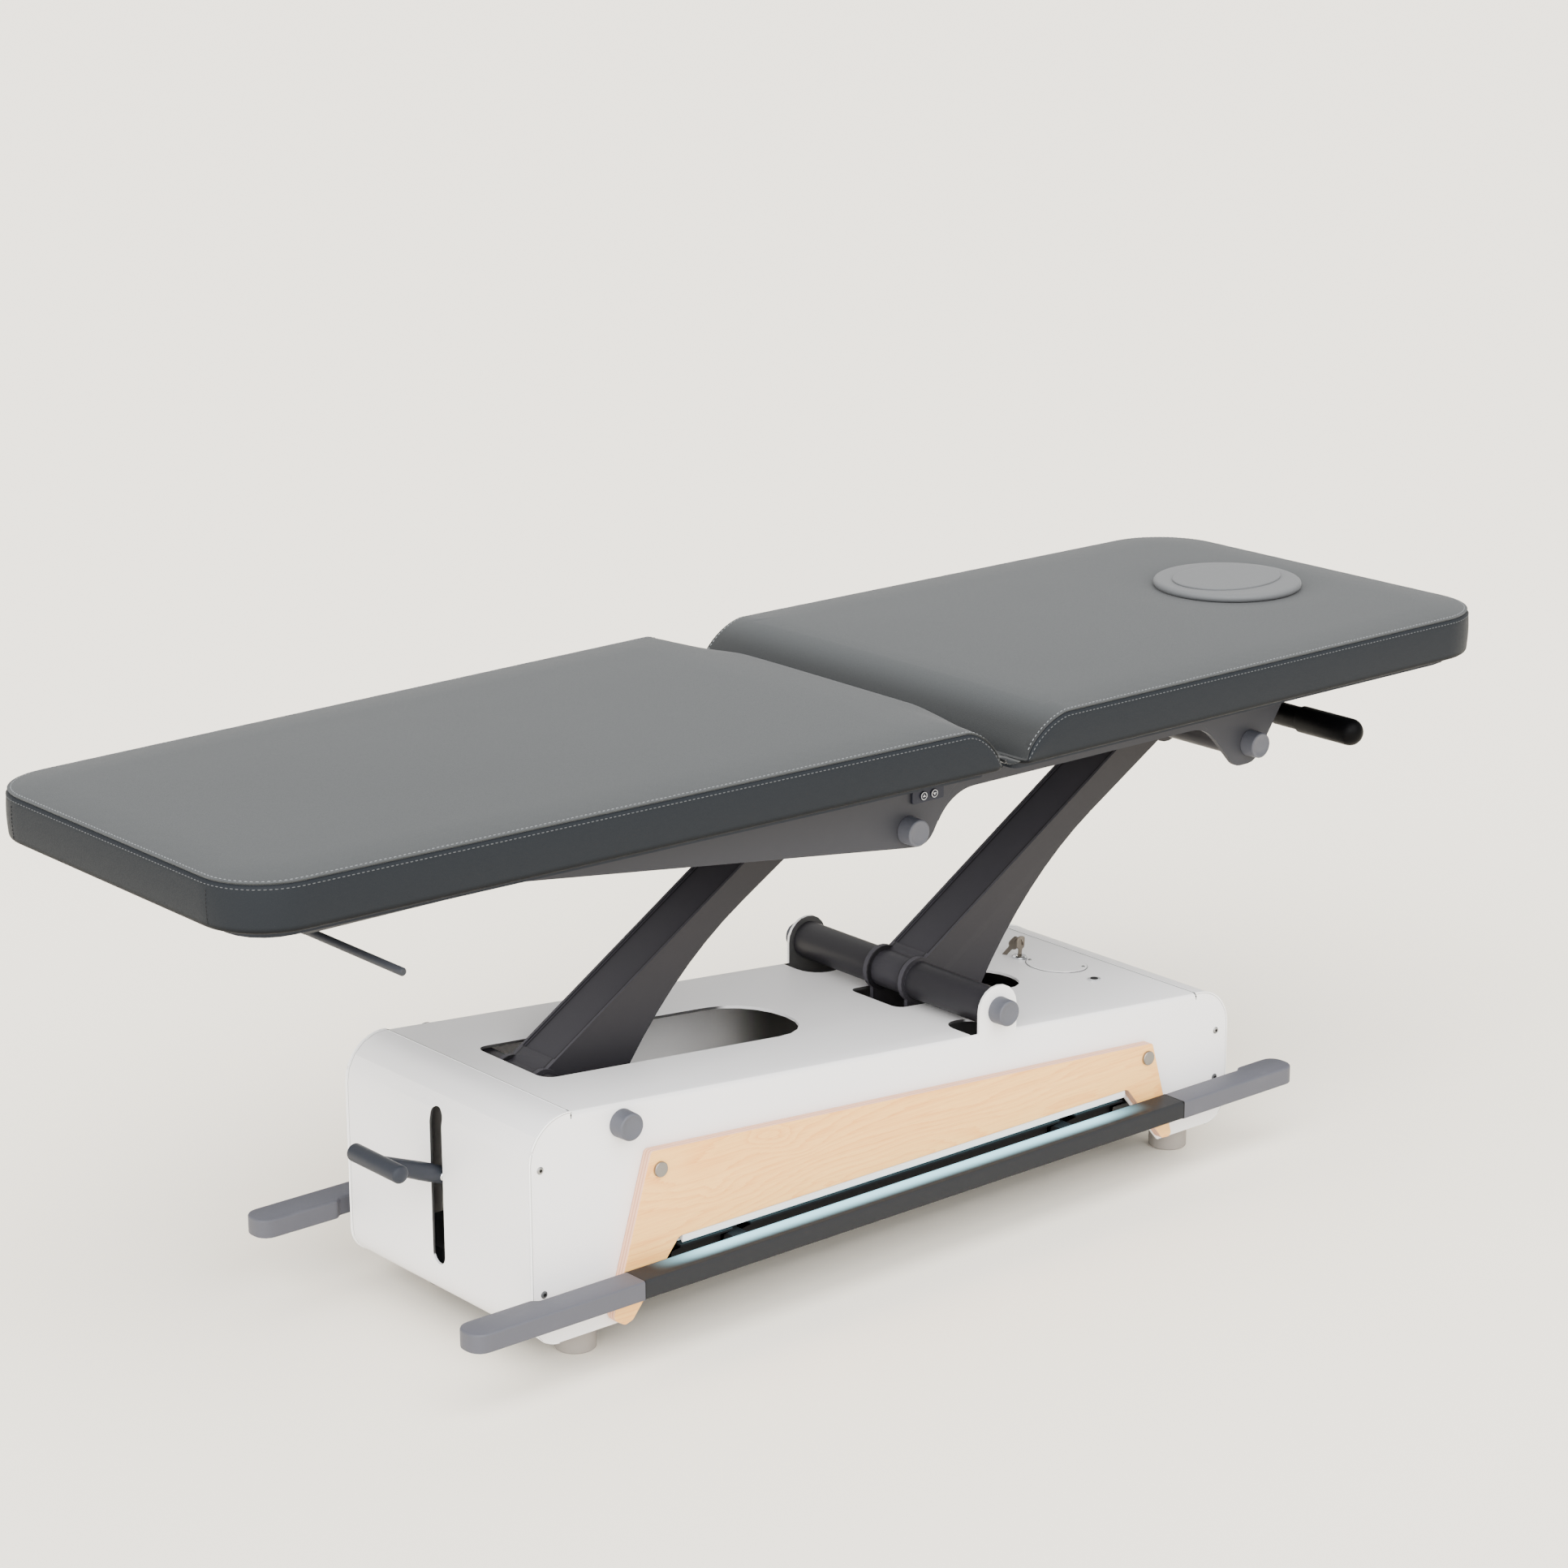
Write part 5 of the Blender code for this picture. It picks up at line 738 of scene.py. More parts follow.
class Cushion:
    """Shape of one padded section.

    Its height over the underside is the seam's height, which falls softly to the gap, plus a pillow just inside the
    seam and a slow crown to the middle, both from the distance to the nearest sewn edge.
    """

    def __init__(self, pad, head):
        self.pad = pad
        self.head = head
        self.gap_x = HEAD_LOW.x if head else FRONT_HIGH.x
        if head:
            corners = [(HEAD_LOW.x, -HEAD_HALF, GAP_CORNER), (HEAD_HIGH.x, -HEAD_HALF, HEAD_CORNER),
                       (HEAD_HIGH.x, HEAD_HALF, HEAD_CORNER), (HEAD_LOW.x, HEAD_HALF, GAP_CORNER)]
        else:
            corners = [(FRONT_LOW.x, -FOOT_HALF, FOOT_CORNER), (FRONT_HIGH.x, -HEAD_HALF, GAP_CORNER),
                       (FRONT_HIGH.x, HEAD_HALF, GAP_CORNER), (FRONT_LOW.x, FOOT_HALF, FOOT_CORNER)]
        self.outline, self.inward, turns = rounded(corners, 0.006, 14)
        if head:
            fall = np.where(turns >= 3.0, np.clip(turns - 3.0, 0, 1), np.clip(1.0 - turns, 0, 1))
        else:
            fall = np.where(turns < 2.0, np.clip(turns - 1.0, 0, 1), np.clip(3.0 - turns, 0, 1))
        self.fall = fall
        self.turns = turns
        step = np.linalg.norm(np.diff(self.outline, axis=0, append=self.outline[:1]), axis=1)
        self.walk = np.concatenate([[0.0], np.cumsum(step)[:-1]])

    def half_width(self, x):
        """Half the width at x."""
        if self.head:
            return np.full_like(x, HEAD_HALF)
        share = np.clip((x - FRONT_LOW.x) / (FRONT_HIGH.x - FRONT_LOW.x), 0, 1)
        return FOOT_HALF + (HEAD_HALF - FOOT_HALF) * share

    def edge_distance(self, x, y):
        """Distance to the sewn edge: a box with two round corners that runs on past the gap."""
        corner = HEAD_CORNER if self.head else FOOT_CORNER
        inside = (HEAD_HIGH.x - x) if self.head else (x - FRONT_LOW.x)
        beside = self.half_width(x) - np.abs(y)
        a, b = np.maximum(corner - inside, 0.0), np.maximum(corner - beside, 0.0)
        return np.maximum(np.where((a > 0) & (b > 0), corner - np.hypot(a, b), np.minimum(inside, beside)), 0.0)

    def free_edge(self, x, y):
        """Distance to the sewn edge or to the round hole."""
        far = self.edge_distance(x, y)
        return np.minimum(far, np.hypot(x - PLUG_X, y) - HOLE - LIP) if self.head else far

    def fall_line(self, drop):
        """Height of the seam at a distance from the gap: a rounded fall, steeper than a quarter round."""
        into = np.clip(1.0 - drop / (HEAD_FALL if self.head else FRONT_FALL), 0.0, 1.0)
        return SEAM_RISE * (1.0 - into ** 1.6) ** 0.625

    def seam(self, x, y):
        """Seam height carried inwards; the front section keeps a tighter round across its middle."""
        drop = np.clip((x - self.gap_x) if self.head else (self.gap_x - x), 0.0, None)
        soft = self.fall_line(np.clip(drop - GAP_START, 0.0, None))
        if self.head:
            return soft
        into = np.clip(FRONT_ROUND - drop, 0.0, FRONT_ROUND)
        tight = SEAM_RISE - FRONT_ROUND + np.sqrt(FRONT_ROUND ** 2 - into ** 2)
        share = np.clip(1.0 - (self.half_width(x) - np.abs(y)) / FRONT_SIDE, 0.0, 1.0)
        return tight + (np.minimum(soft, tight) - tight) * share ** 1.5

    def top(self, x, y):
        """Height of the top leather over the underside."""
        pad = self.pad
        far = self.edge_distance(x, y)
        pillow = PILLOW_START + pad.pillow * (1.0 - (1.0 - np.minimum(far / pad.pillow_width, 1.0)) ** 2)
        crown = pad.crown * (1.0 - (1.0 - np.minimum(far / CROWN_REACH, 1.0)) ** 2)
        pucker = PUCKER_RISE * np.sin(x * 157.0 + 2.0 * np.sin(y * 41.0)) * np.sin(y * 143.0 + x * 23.0)
        pucker = pucker * np.exp(-far / PUCKER_REACH) * np.minimum(far / 0.006, 1.0)
        waves = WAVE_RISE * np.sin(x * 9.1 + 1.3) * np.sin(y * 11.7 + 0.4) * np.minimum(far / 0.08, 1.0)
        drop = (x - self.gap_x) if self.head else (self.gap_x - x)
        ease = (HEAD_EASE if self.head else 1.0) * pad.gap_ease * np.clip(1.0 - drop / GAP_REACH, 0.0, 1.0) ** 2
        ease = ease * (0.25 + 0.75 * np.minimum(far / 0.05, 1.0))
        height = self.seam(x, y) + pillow + crown + pucker + waves - ease
        if self.head:
            height -= HOLE_DIP * np.exp(-((np.hypot(x - PLUG_X, y) - HOLE) / 0.035) ** 2)
        return height

    def grid(self):
        """Rows of points from the middle of the underside, up the band and over the top.

        The outline is drawn in by an inset for each row; inner rows run straight on to the middle line or to the hole.
        """
        line, inward = self.outline, self.inward
        loose = self.fall > 0.35
        ends = self.walk[loose != np.roll(loose, -1)]
        from_end = np.min(np.abs(self.walk[:, None] - ends), axis=1) * ~loose
        band = np.maximum(self.fall_line(from_end), 0.004)
        sewn = np.clip(from_end / 0.004, 0, 1)
        rows, marks = [], []

        def put(spot, height, finish=0):
            rows.append(np.column_stack([spot, np.broadcast_to(height, len(line))]))
            marks.append(finish)

        def inset_by(inset):
            return line + inward * np.reshape(inset, (-1, 1))

        core = self.core(inset_by(0.0155))
        for share in (0.0, 0.5, 0.92):
            put(core + share * (inset_by(0.012) - core), 0.0, 1)
        for turn in np.linspace(0.0, np.pi / 2, 5):
            put(inset_by(BAND_INSET + BAND_EDGE * (1 - np.sin(turn))), BAND_EDGE * (1 - np.cos(turn)), 1)
        top_of_band = np.maximum(band - 0.0042, BAND_EDGE)
        for share in np.linspace(0.12, 1.0, 8):
            swell = BAND_INSET - BAND_INSET * np.sin(np.pi * np.clip(share * 0.92, 0, 1))
            put(inset_by(swell), BAND_EDGE + share * (top_of_band - BAND_EDGE), 1)
        for inset, rise, finish in ((0.0016, -0.0028, 1), (0.0030, -0.0012, 1), (self.pad.groove + 0.0014, 0.0, 0),
                                    (0.0034, 0.0012, 0), (0.0026, 0.0024, 0)):
            put(inset_by(SEAM_INSET + (inset - SEAM_INSET) * sewn), np.maximum(band + rise, BAND_EDGE), finish)
        foot = np.maximum(band + 0.0024, BAND_EDGE)
        spot = inset_by(TOP_INSET)
        head = np.maximum(self.top(spot[:, 0], spot[:, 1]), foot + 0.0002)
        last = 0.0026 * sewn + SEAM_INSET * (1.0 - sewn)
        for share in (0.2, 0.4, 0.6, 0.8):
            put(inset_by(last + (TOP_INSET - last) * share ** 2), foot + (head - foot) * share)
        for inset in TOP_ROWS:
            spot = inset_by(inset)
            put(spot, np.maximum(self.top(spot[:, 0], spot[:, 1]), head))
        self.stitch_rows = (len(rows) - 4, 15)
        core = self.core(spot)
        fine = FINE_REACH / np.linalg.norm(core - spot, axis=1)
        shares = [fine * share for share in np.linspace(0.0, 1.0, 17)[1:]]
        shares += [fine + (1.0 - fine) * share for share in np.linspace(0.0, 1.0, 22)[1:]]
        for share in shares:
            inner = spot + (core - spot) * share[:, None]
            put(inner, self.top(inner[:, 0], inner[:, 1]))
        if self.head:
            self.hole_rows(put, core)
        grid = np.stack(rows)
        grid[..., 2] += UNDERSIDE
        return grid, marks

    def core(self, start):
        """Where the rows end: the middle line of the front section, or the round hole of the head section."""
        if self.head:
            return PLUG + unit(start - PLUG) * (HOLE + LIP)
        return np.column_stack([np.clip(start[:, 0], FRONT_LOW.x + 0.28, FRONT_HIGH.x - 0.30), np.zeros(len(start))])

    def hole_rows(self, put, core):
        """Rounded lip and wall of the round hole."""
        way = unit(core - PLUG)
        height = self.top(core[:, 0], core[:, 1])
        for turn in np.linspace(0.0, np.pi / 2, 6)[1:]:
            put(PLUG + way * (HOLE + LIP * (1 - np.sin(turn))), height - LIP * (1 - np.cos(turn)))
        for share, inset in ((0.6, 0.0), (0.3, 0.0), (0.04, 0.0), (0.0, 0.0015)):
            put(PLUG + way * (HOLE + inset), (height - LIP) * share)


def points_of(mesh):
    """Points of a mesh as an array."""
    flat = np.empty(len(mesh.vertices) * 3)
    mesh.vertices.foreach_get("co", flat)
    return flat.reshape(-1, 3)


# Cloth simulation of the padding
VOXEL = 0.012
SQUARE = 0.020
FRAMES = 20
PRESSURE = 4.0
FREE_RISE = 0.046
FREE_EDGE = 0.010
FADE = 0.030
SWELL_FROM = 0.030


def swelled(form, grid):
    """Top of a cushion after a short cloth simulation with pressure inside.

    A copy is remeshed in 12 mm voxels, held up to its seam and blown up for 20 frames. The mean rise of its top in
    20 mm squares, smoothed and capped, is added to the top, read between the four nearest squares.
    """
    scene = bpy.context.scene
    rough = skin("swell_rough", [grid], around=form.head)
    remesh = rough.modifiers.new("Voxels", "REMESH")
    remesh.mode = "VOXEL"
    remesh.voxel_size = VOXEL
    mesh = bpy.data.meshes.new_from_object(rough.evaluated_get(bpy.context.evaluated_depsgraph_get()))
    bpy.data.meshes.remove(rough.data)
    copy = bpy.data.objects.new("swell_copy", mesh)
    scene.collection.objects.link(copy)
    before = points_of(mesh)
    free = (before[:, 2] > UNDERSIDE + FREE_RISE) & (form.free_edge(before[:, 0], before[:, 1]) > FREE_EDGE)
    copy.vertex_groups.new(name="held").add(np.flatnonzero(~free).tolist(), 1.0, "REPLACE")
    cloth = copy.modifiers.new("Swell", "CLOTH").settings
    cloth.vertex_group_mass = "held"
    cloth.use_pressure = True
    cloth.uniform_pressure_force = PRESSURE
    cloth.effector_weights.gravity = 0.0
    for moment in range(1, FRAMES + 1):
        scene.frame_set(moment)
    blown = copy.evaluated_get(bpy.context.evaluated_depsgraph_get())
    rise = (points_of(blown.to_mesh()) - before)[free, 2]
    blown.to_mesh_clear()
    bpy.data.meshes.remove(mesh)
    scene.frame_set(1)
    low = before[:, :2].min(axis=0)
    size = np.ceil((before[:, :2].max(axis=0) - low) / SQUARE).astype(int)
    cell = np.clip(((before[free, :2] - low) / SQUARE).astype(int), 0, size - 1)
    field, count = np.zeros(size), np.zeros(size)
    np.add.at(field, tuple(cell.T), rise)
    np.add.at(count, tuple(cell.T), 1.0)
    field /= np.maximum(count, 1.0)
    for _ in range(3):
        wide = np.pad(field, 1)
        field = (wide[:-2, 1:-1] + wide[2:, 1:-1] + wide[1:-1, :-2] + wide[1:-1, 2:] + 4.0 * field) / 8.0
    field *= min(1.0, form.pad.swell / max(field.max(), 1e-9))
    at = np.clip((grid[..., :2] - low) / SQUARE - 0.5, 0.0, size - 1.001)
    i, j = at[..., 0].astype(int), at[..., 1].astype(int)
    u, v = at[..., 0] - i, at[..., 1] - j
    found = ((1 - u) * (1 - v) * field[i, j] + u * (1 - v) * field[i + 1, j] + (1 - u) * v * field[i, j + 1]
             + u * v * field[i + 1, j + 1])
    fade = np.clip(form.free_edge(grid[..., 0], grid[..., 1]) / FADE, 0.0, 1.0)
    grid[..., 2] += found * fade * (grid[..., 2] > UNDERSIDE + SWELL_FROM)
    return grid


THREAD_LIFT = 0.0001


def stitches(path, over, pad, step):
    """Row of stitches: a small bead repeated along a path.

    A bead is a ring of six points carried over six rows; its long side follows the path and it lies on the surface
    whose outward directions are given.
    """
    length = pad.stitch
    walk = np.concatenate([[0.0], np.cumsum(np.linalg.norm(np.diff(path, axis=0), axis=1))])
    spots = np.arange(length, walk[-1] - length, step)
    place = read_along(spots, walk, path)
    ahead = unit(read_along(spots + 0.0008, walk, path) - place)
    out = read_along(spots, walk, over)
    out = unit(out - ahead * np.sum(out * ahead, axis=1, keepdims=True))
    side = np.cross(ahead, out)
    along = np.array((-0.5, -0.42, -0.2, 0.2, 0.42, 0.5)) * length
    thick = np.array((0.0, 0.75, 1.0, 1.0, 0.75, 0.0)) * pad.thread_radius
    sink = np.array((-0.6, -0.35, 0.0, 0.0, -0.35, -0.6)) * pad.thread_radius
    angle = circle(6)
    ring = np.cos(angle)[None, :, None, None] * side + np.sin(angle)[None, :, None, None] * out
    bead = (place + along[:, None, None, None] * ahead + (sink + THREAD_LIFT)[:, None, None, None] * out
            + thick[:, None, None, None] * ring)
    return np.moveaxis(bead, 2, 0)


def surface_out(grid, row):
    """Outward directions along one row of a cushion's grid."""
    along = np.roll(grid[row], -1, axis=0) - np.roll(grid[row], 1, axis=0)
    up = grid[row + 1] - grid[row - 1]
    out = np.cross(along, up)
    out /= np.linalg.norm(out, axis=1, keepdims=True) + 1e-12
    return out


class TABLE_OT_cushions(bpy.types.Operator):
    """Two padded sections with their sewn bands and stitches"""
    bl_idname = "table.cushions"
    bl_label = "Cushions"

    def execute(self, context):
        pad = context.scene.table_pad
        for name, head, body in (("front", False, "table"), ("head", True, "head")):
            form = Cushion(pad, head)
            grid, marks = form.grid()
            grid = swelled(form, grid)
            made = skin(name + "_padding", [grid], 50.0, around=head, finish_rows=marks)
            dress(made, body, ["top_leather", "band_leather"], [name + "_cushion"])
            loose = form.fall > 0.33
            first = int(np.argmax(loose & ~np.roll(loose, -1))) + 1
            count = int(np.sum(~loose))
            for row, level, finish in zip(form.stitch_rows, ("upper", "lower"), ("thread", "band_thread")):
                path = np.roll(grid[row], -first, axis=0)[:count]
                out = np.roll(surface_out(grid, row), -first, axis=0)[:count]
                thread = skin(f"{name}_stitching_{level}", stitches(path, out, pad, pad.stitch_step), 60.0)
                dress(thread, body, finish)
            if not head:
                out = np.stack([surface_out(grid, row) for row in range(6, 16)])
                beads = [stitches(grid[6:16, column], out[:, column], pad, 0.0046)
                         for column in (1, len(form.outline) - 1 - len(form.outline[form.turns == 4.0]))]
                thread = skin("corner_stitching", np.concatenate(beads), 60.0)
                dress(thread, body, "dark_thread")
        return {"FINISHED"}


class TABLE_OT_gap_gussets(bpy.types.Operator):
    """Glossy folded gussets in both ends of the gap between the sections"""
    bl_idname = "table.gap_gussets"
    bl_label = "Gap gussets"

    def execute(self, context):
        low, high = FRONT_HIGH.x, HEAD_LOW.x
        line = np.array([(low + 0.0010, 0.0370), (low + 0.0014, 0.0300), (low + 0.0022, 0.0210),
                         (low + 0.0046, 0.0120), (low + 0.0095, 0.0062), (low + 0.0150, 0.0044),
                         (low + 0.0205, 0.0046), (high - 0.0022, 0.0070), (high - 0.0010, 0.0110)])
        fine = np.linspace(0, 1, 40)
        line = read_along(fine, np.linspace(0, 1, len(line)), line)
        line[1:-1] = (line[:-2] + 2 * line[1:-1] + line[2:]) / 4
        across = unit(np.gradient(line, axis=0))[:, ::-1] * (-1.0, 1.0)
        y = np.linspace(0.150, 0.3155, 60)
        form = Cushion(context.scene.table_pad, False)
        rise = np.clip((form.top(np.full(60, low - 0.006), y) - 0.002) / 0.037, 0.24, 1.0)
        fold = 0.0007 * np.sin(y * 260.0)[:, None] * np.sin(fine * np.pi)[None, :]
        outer = line[None] + (fold + GUSSET_HALF)[..., None] * across
        inner = line[None] + (fold - GUSSET_HALF)[..., None] * across
        ring = np.concatenate([outer, inner[:, ::-1]], axis=1)
        ring[..., 1] = GUSSET_FLOOR + (ring[..., 1] - GUSSET_FLOOR) * rise[:, None]
        for side, sign in SIDES:
            grid = np.stack([ring[..., 0], np.broadcast_to(sign * y[:, None], ring.shape[:2]),
                             UNDERSIDE + ring[..., 1]], -1)
            ends = np.repeat(grid[[0, -1]].mean(axis=1, keepdims=True), grid.shape[1], axis=1)
            ends = grid[[0, -1]] * 0.999 + ends * 0.001
            strip = np.concatenate([ends[:1], grid, ends[1:]])
            made = skin(f"gap_gusset_{side}", [strip], 60.0)
            self.close(made)
            made.data.materials.append(FINISHES["gusset_vinyl"].material)
            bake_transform(made)
        return {"FINISHED"}

    def close(self, made):
        """Close the two ends of a strip."""
        shape = bmesh.new()
        shape.from_mesh(made.data)
        bmesh.ops.holes_fill(shape, edges=shape.edges, sides=0)
        bmesh.ops.recalc_face_normals(shape, faces=shape.faces)
        shape.to_mesh(made.data)
        shape.free()


class TABLE_OT_face_plug(bpy.types.Operator):
    """Round face plug with a raised oval pad"""
    bl_idname = "table.face_plug"
    bl_label = "Face plug"

    def execute(self, context):
        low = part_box("face_plug")[0]
        seat, stem, rim = PLUG_SEAT, HOLE - 0.0014, HOLE + 0.008
        profile = [(0.0, low.z), (stem - 0.006, low.z)]
        profile += arc(-math.pi / 2, 0.0, (stem - 0.006, low.z + 0.006), 0.006, 6)
        profile += [(stem, seat - 0.002), (stem, seat), (rim - 0.004, seat)]
        profile += arc(math.radians(-60), math.radians(70), (rim - 0.0055, seat + 0.0052), 0.0055, 12)
        profile += [(r, seat + 0.0104 + 0.0016 * (1 - (r / 0.1) ** 2)) for r in np.linspace(0.094, 0.0, 14)]
        ring = piece("face_plug_ring", "plug", "plug_leather", "plug_cover",
                     turned(profile, (PLUG_X, 0, 0), (0, 0, 1), 128), replaced=["face_plug"])
        angle = circle(128)
        share = np.concatenate([[1.0, 1.0, 1.004, 1.0], np.sin(np.linspace(1.45, 0.0, 14))])
        rise = np.concatenate([[-0.002, 0.0004, 0.0014, 0.0022], 0.0030 - 0.0008 * np.linspace(0.9, 0.0, 14) ** 6])
        egg = 1.0 - 0.05 * np.cos(angle)
        x = PLUG_X + 0.0840 * share[:, None] * np.cos(angle)
        y = 0.0660 * egg * share[:, None] * np.sin(angle)
        z = seat + 0.0110 + np.broadcast_to(rise[:, None], x.shape)
        base = np.stack([np.full(128, PLUG_X), np.zeros(128), np.full(128, seat + 0.009)], -1)
        oval = piece("face_plug_oval", "plug", "plug_leather", "plug_cover",
                     np.concatenate([base[None], np.stack([x, y, z], -1)]))
        return {"FINISHED"}


# Rows of a screw head that belong to its socket
SCREW_ROWS = (0, 0, 0, 0, 0, 1, 1, 1)


def screw_head(centre, axis, radius):
    """Low domed screw head with a six-sided socket.

    The head is a turned profile; the radius of the socket's rows is divided by the cosine of the angle from the
    nearest flat, which makes it six-sided.
    """
    profile = [(0.0, -0.0010), (radius, -0.0010), (radius, 0.0004), (radius * 0.86, 0.0012),
               (radius * 0.62, 0.0016), (radius * 0.46, 0.0016), (radius * 0.44, 0.0004), (0.0, 0.0003)]
    inner = np.array(SCREW_ROWS, float)[:, None]

    def ripple(angle):
        flat = np.cos(np.mod(angle + np.pi / 6, np.pi / 3) - np.pi / 6)
        return 1.0 + inner * (0.90 / flat - 1.0)[None, :]

    return turned(profile, centre, axis, 48, ripple)


def screw(name, body, finish, slot, centre, axis, radius, sharp=40.0):
    """Dressed screw with a dark socket."""
    piece(name, body, [finish, "dark_hole"], slot, screw_head(centre, axis, radius), sharp, finish_rows=SCREW_ROWS)


def base_top(x):
    """Height of the housing's sloping top at x."""
    return TOP_Z - TOP_SLOPE * (x - TOP_X)


class TABLE_OT_housing(bpy.types.Operator):
    """Bent covers of the base, their screws, the service disc and the socket"""
    bl_idname = "table.housing"
    bl_label = "Housing"

    def execute(self, context):
        paint = context.scene.table_paint
        for node in ("base_cover", "end_cover_foot", "end_cover_head"):
            copy_node(node, node + "_coat", "housing_coat", paint.wear)
        copy_node("service_disc", "service_disc_coat", "housing_coat", 0.0004)
        copy_node("handset_socket", "handset_socket_rim", "chrome", 0.0003)
        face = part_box("base_cover")[1].y
        spots = ((-0.551, 0.272, "steel"), (-0.549, 0.113, "grey_plastic"), (0.598, 0.177, "steel"),
                 (0.598, 0.109, "grey_plastic"))
        for side, sign in SIDES:
            for index, (x, z, finish) in enumerate(spots):
                screw(f"cover_screw_{side}_{index}", "base", finish, "steel", (x, sign * face, z), (0, sign, 0), 0.0048)
        self.edges(face)
        self.fittings()
        return {"FINISHED"}

    def fittings(self):
        """Gap and screws round the service disc, and the dark inside of the socket."""
        def across(angle):
            angle = np.asarray(angle)[..., None]
            return np.cos(angle) * TOP_ALONG + np.sin(angle) * np.array((0.0, 1.0, 0.0))

        centre = np.array((0.486, 0.006, base_top(0.486)))
        low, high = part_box("service_disc")
        radius = (high.y - low.y) / 2
        loop = centre + across(np.linspace(0.0, 2 * np.pi, 97)) * (radius + 0.0003) + TOP_UP * 0.0002
        piece("disc_gap", "base", "disc_line", "housing_paint", swept(loop, 0.0006, 8), 60.0)
        rise = TOP_UP * (self.rise("service_disc", 0.0004) + 0.0001)
        for index, turn in enumerate((2.2, 2.2 + np.pi)):
            screw(f"disc_screw_{index}", "base", "steel", "steel", centre + (radius - 0.0050) * across(turn) + rise,
                  TOP_UP, 0.0028)
        spot = middle("handset_socket")
        spot[2] = base_top(spot[0])
        top = 0.0012 + self.rise("handset_socket", 0.0006)
        piece("socket_inside", "base", "dark_hole", "black_plastic",
              turned([(0.0, 0.0), (0.0052, 0.0), (0.0052, top), (0.0, top)], spot, TOP_UP, 32))

    def rise(self, node, sunk):
        """How far a fitting stands above the top, less what is sunk."""
        low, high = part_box(node)
        return max(0.0, high.z - base_top(low.x) - sunk)

    def edges(self, face):
        """Painted highlights and shade round the covers: a white rod of painted highlight round each end with a grey
        rod of painted shade beside it, dark notches, and along each seam on the top a dark line with a white rod of
        painted highlight, each a thin round section along a path.

        The path of an end is the slope of the top, a quarter round, a straight fall and a smaller quarter round.
        """
        low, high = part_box("base_cover")
        start = math.pi / 2 - math.atan(TOP_SLOPE)
        for end, x, sign, seam_x, fall, foot in (("foot", low.x, 1.0, FOOT_SEAM, math.pi, 1.5 * math.pi),
                                                 ("head", high.x, -1.0, HEAD_SEAM, 0.0, -0.5 * math.pi)):
            middle_x = x + sign * TOP_ROUND
            middle_z = base_top(middle_x) - TOP_ROUND * math.hypot(1.0, TOP_SLOPE)
            top = np.linspace(seam_x, middle_x + TOP_ROUND * math.cos(start), 4)[:-1]
            line = np.concatenate([
                np.column_stack([top, base_top(top)]),
                arc(start, fall, (middle_x, middle_z), TOP_ROUND, 24),
                arc(fall, foot, (x + sign * LOW_ROUND, low.z + LOW_ROUND), LOW_ROUND, 16)])
            seam_z = base_top(seam_x)
            for side, out in SIDES:
                path = np.column_stack([line[:, 0], np.full(len(line), out * (face - 0.0005)), line[:, 1]])
                # painted highlight: a white rod along the end's edge
                piece(f"cover_edge_{end}_{side}", "base", "edge_coat", "housing_paint", swept(path, 0.0008, 12), 60.0)
                # painted shade: a grey rod beside the white one
                path = path + np.array((sign * 0.0013, out * 0.0004, -0.0010))
                piece(f"cover_line_{end}_{side}", "base", "seam_shade", "housing_paint", swept(path, 0.0004, 8), 60.0)
                notch = [(seam_x, out * (face + wide), seam_z + rise) for wide, rise in (
                    (-0.0080, 0.0001), (-0.0030, -0.0008), (-0.0004, -0.0042), (0.0001, -0.0088))]
                piece(f"cover_notch_{end}_{side}", "base", "dark_hole", "housing_paint",
                      swept(notch, (0.0005, 0.0011, 0.0011, 0.0005), 10), 60.0)
            across = np.linspace(-1.0, 1.0, 5) * (face - 0.009)
            # a dark seam line, and beside it a white rod of painted highlight
            for offset, radius, finish in ((0.0, 0.00045, "dark_hole"), (-0.0011 * sign, 0.00055, "edge_coat")):
                path = np.column_stack([np.full(5, seam_x + offset), across,
                                        np.full(5, base_top(seam_x + offset) - 0.0001)])
                piece(f"cover_seam_{end}_{finish}", "base", finish, "housing_paint", swept(path, radius, 10), 60.0)


class TABLE_OT_caps(bpy.types.Operator):
    """Round caps of the pivots"""
    bl_idname = "table.caps"
    bl_label = "Caps"

    def execute(self, context):
        sides = context.scene.table_light.sides
        for letter in "abcd":
            for side, sign in SIDES:
                node = f"axle_cap_{letter}_{side}"
                low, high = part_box(node)
                x, _, z = middle(node)
                inner, outer = (low.y, high.y) if sign > 0 else (-high.y, -low.y)
                radius = (high.x - low.x) / 2
                face = outer - 0.022
                profile = [(0.0, inner), (0.009, inner), (0.010, inner + 0.001), (0.010, face),
                           (radius - 0.0006, face), (radius, face + 0.0006), (radius - 0.0007, outer - 0.0022)]
                profile += arc(0.1, 1.45, (radius - 0.0029, outer - 0.0022), 0.0022, 7)
                profile += [(radius - 0.0036, outer), (radius - 0.0042, outer - 0.0004),
                            (0.006, outer - 0.0005), (0.0, outer - 0.0005)]
                piece(f"cap_{letter}_{side}", NODES[node]["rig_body"], "cap_plastic", "cap_plastic",
                      turned(profile, (x, 0, z), (0, sign, 0), sides), 35.0, [node])
        return {"FINISHED"}


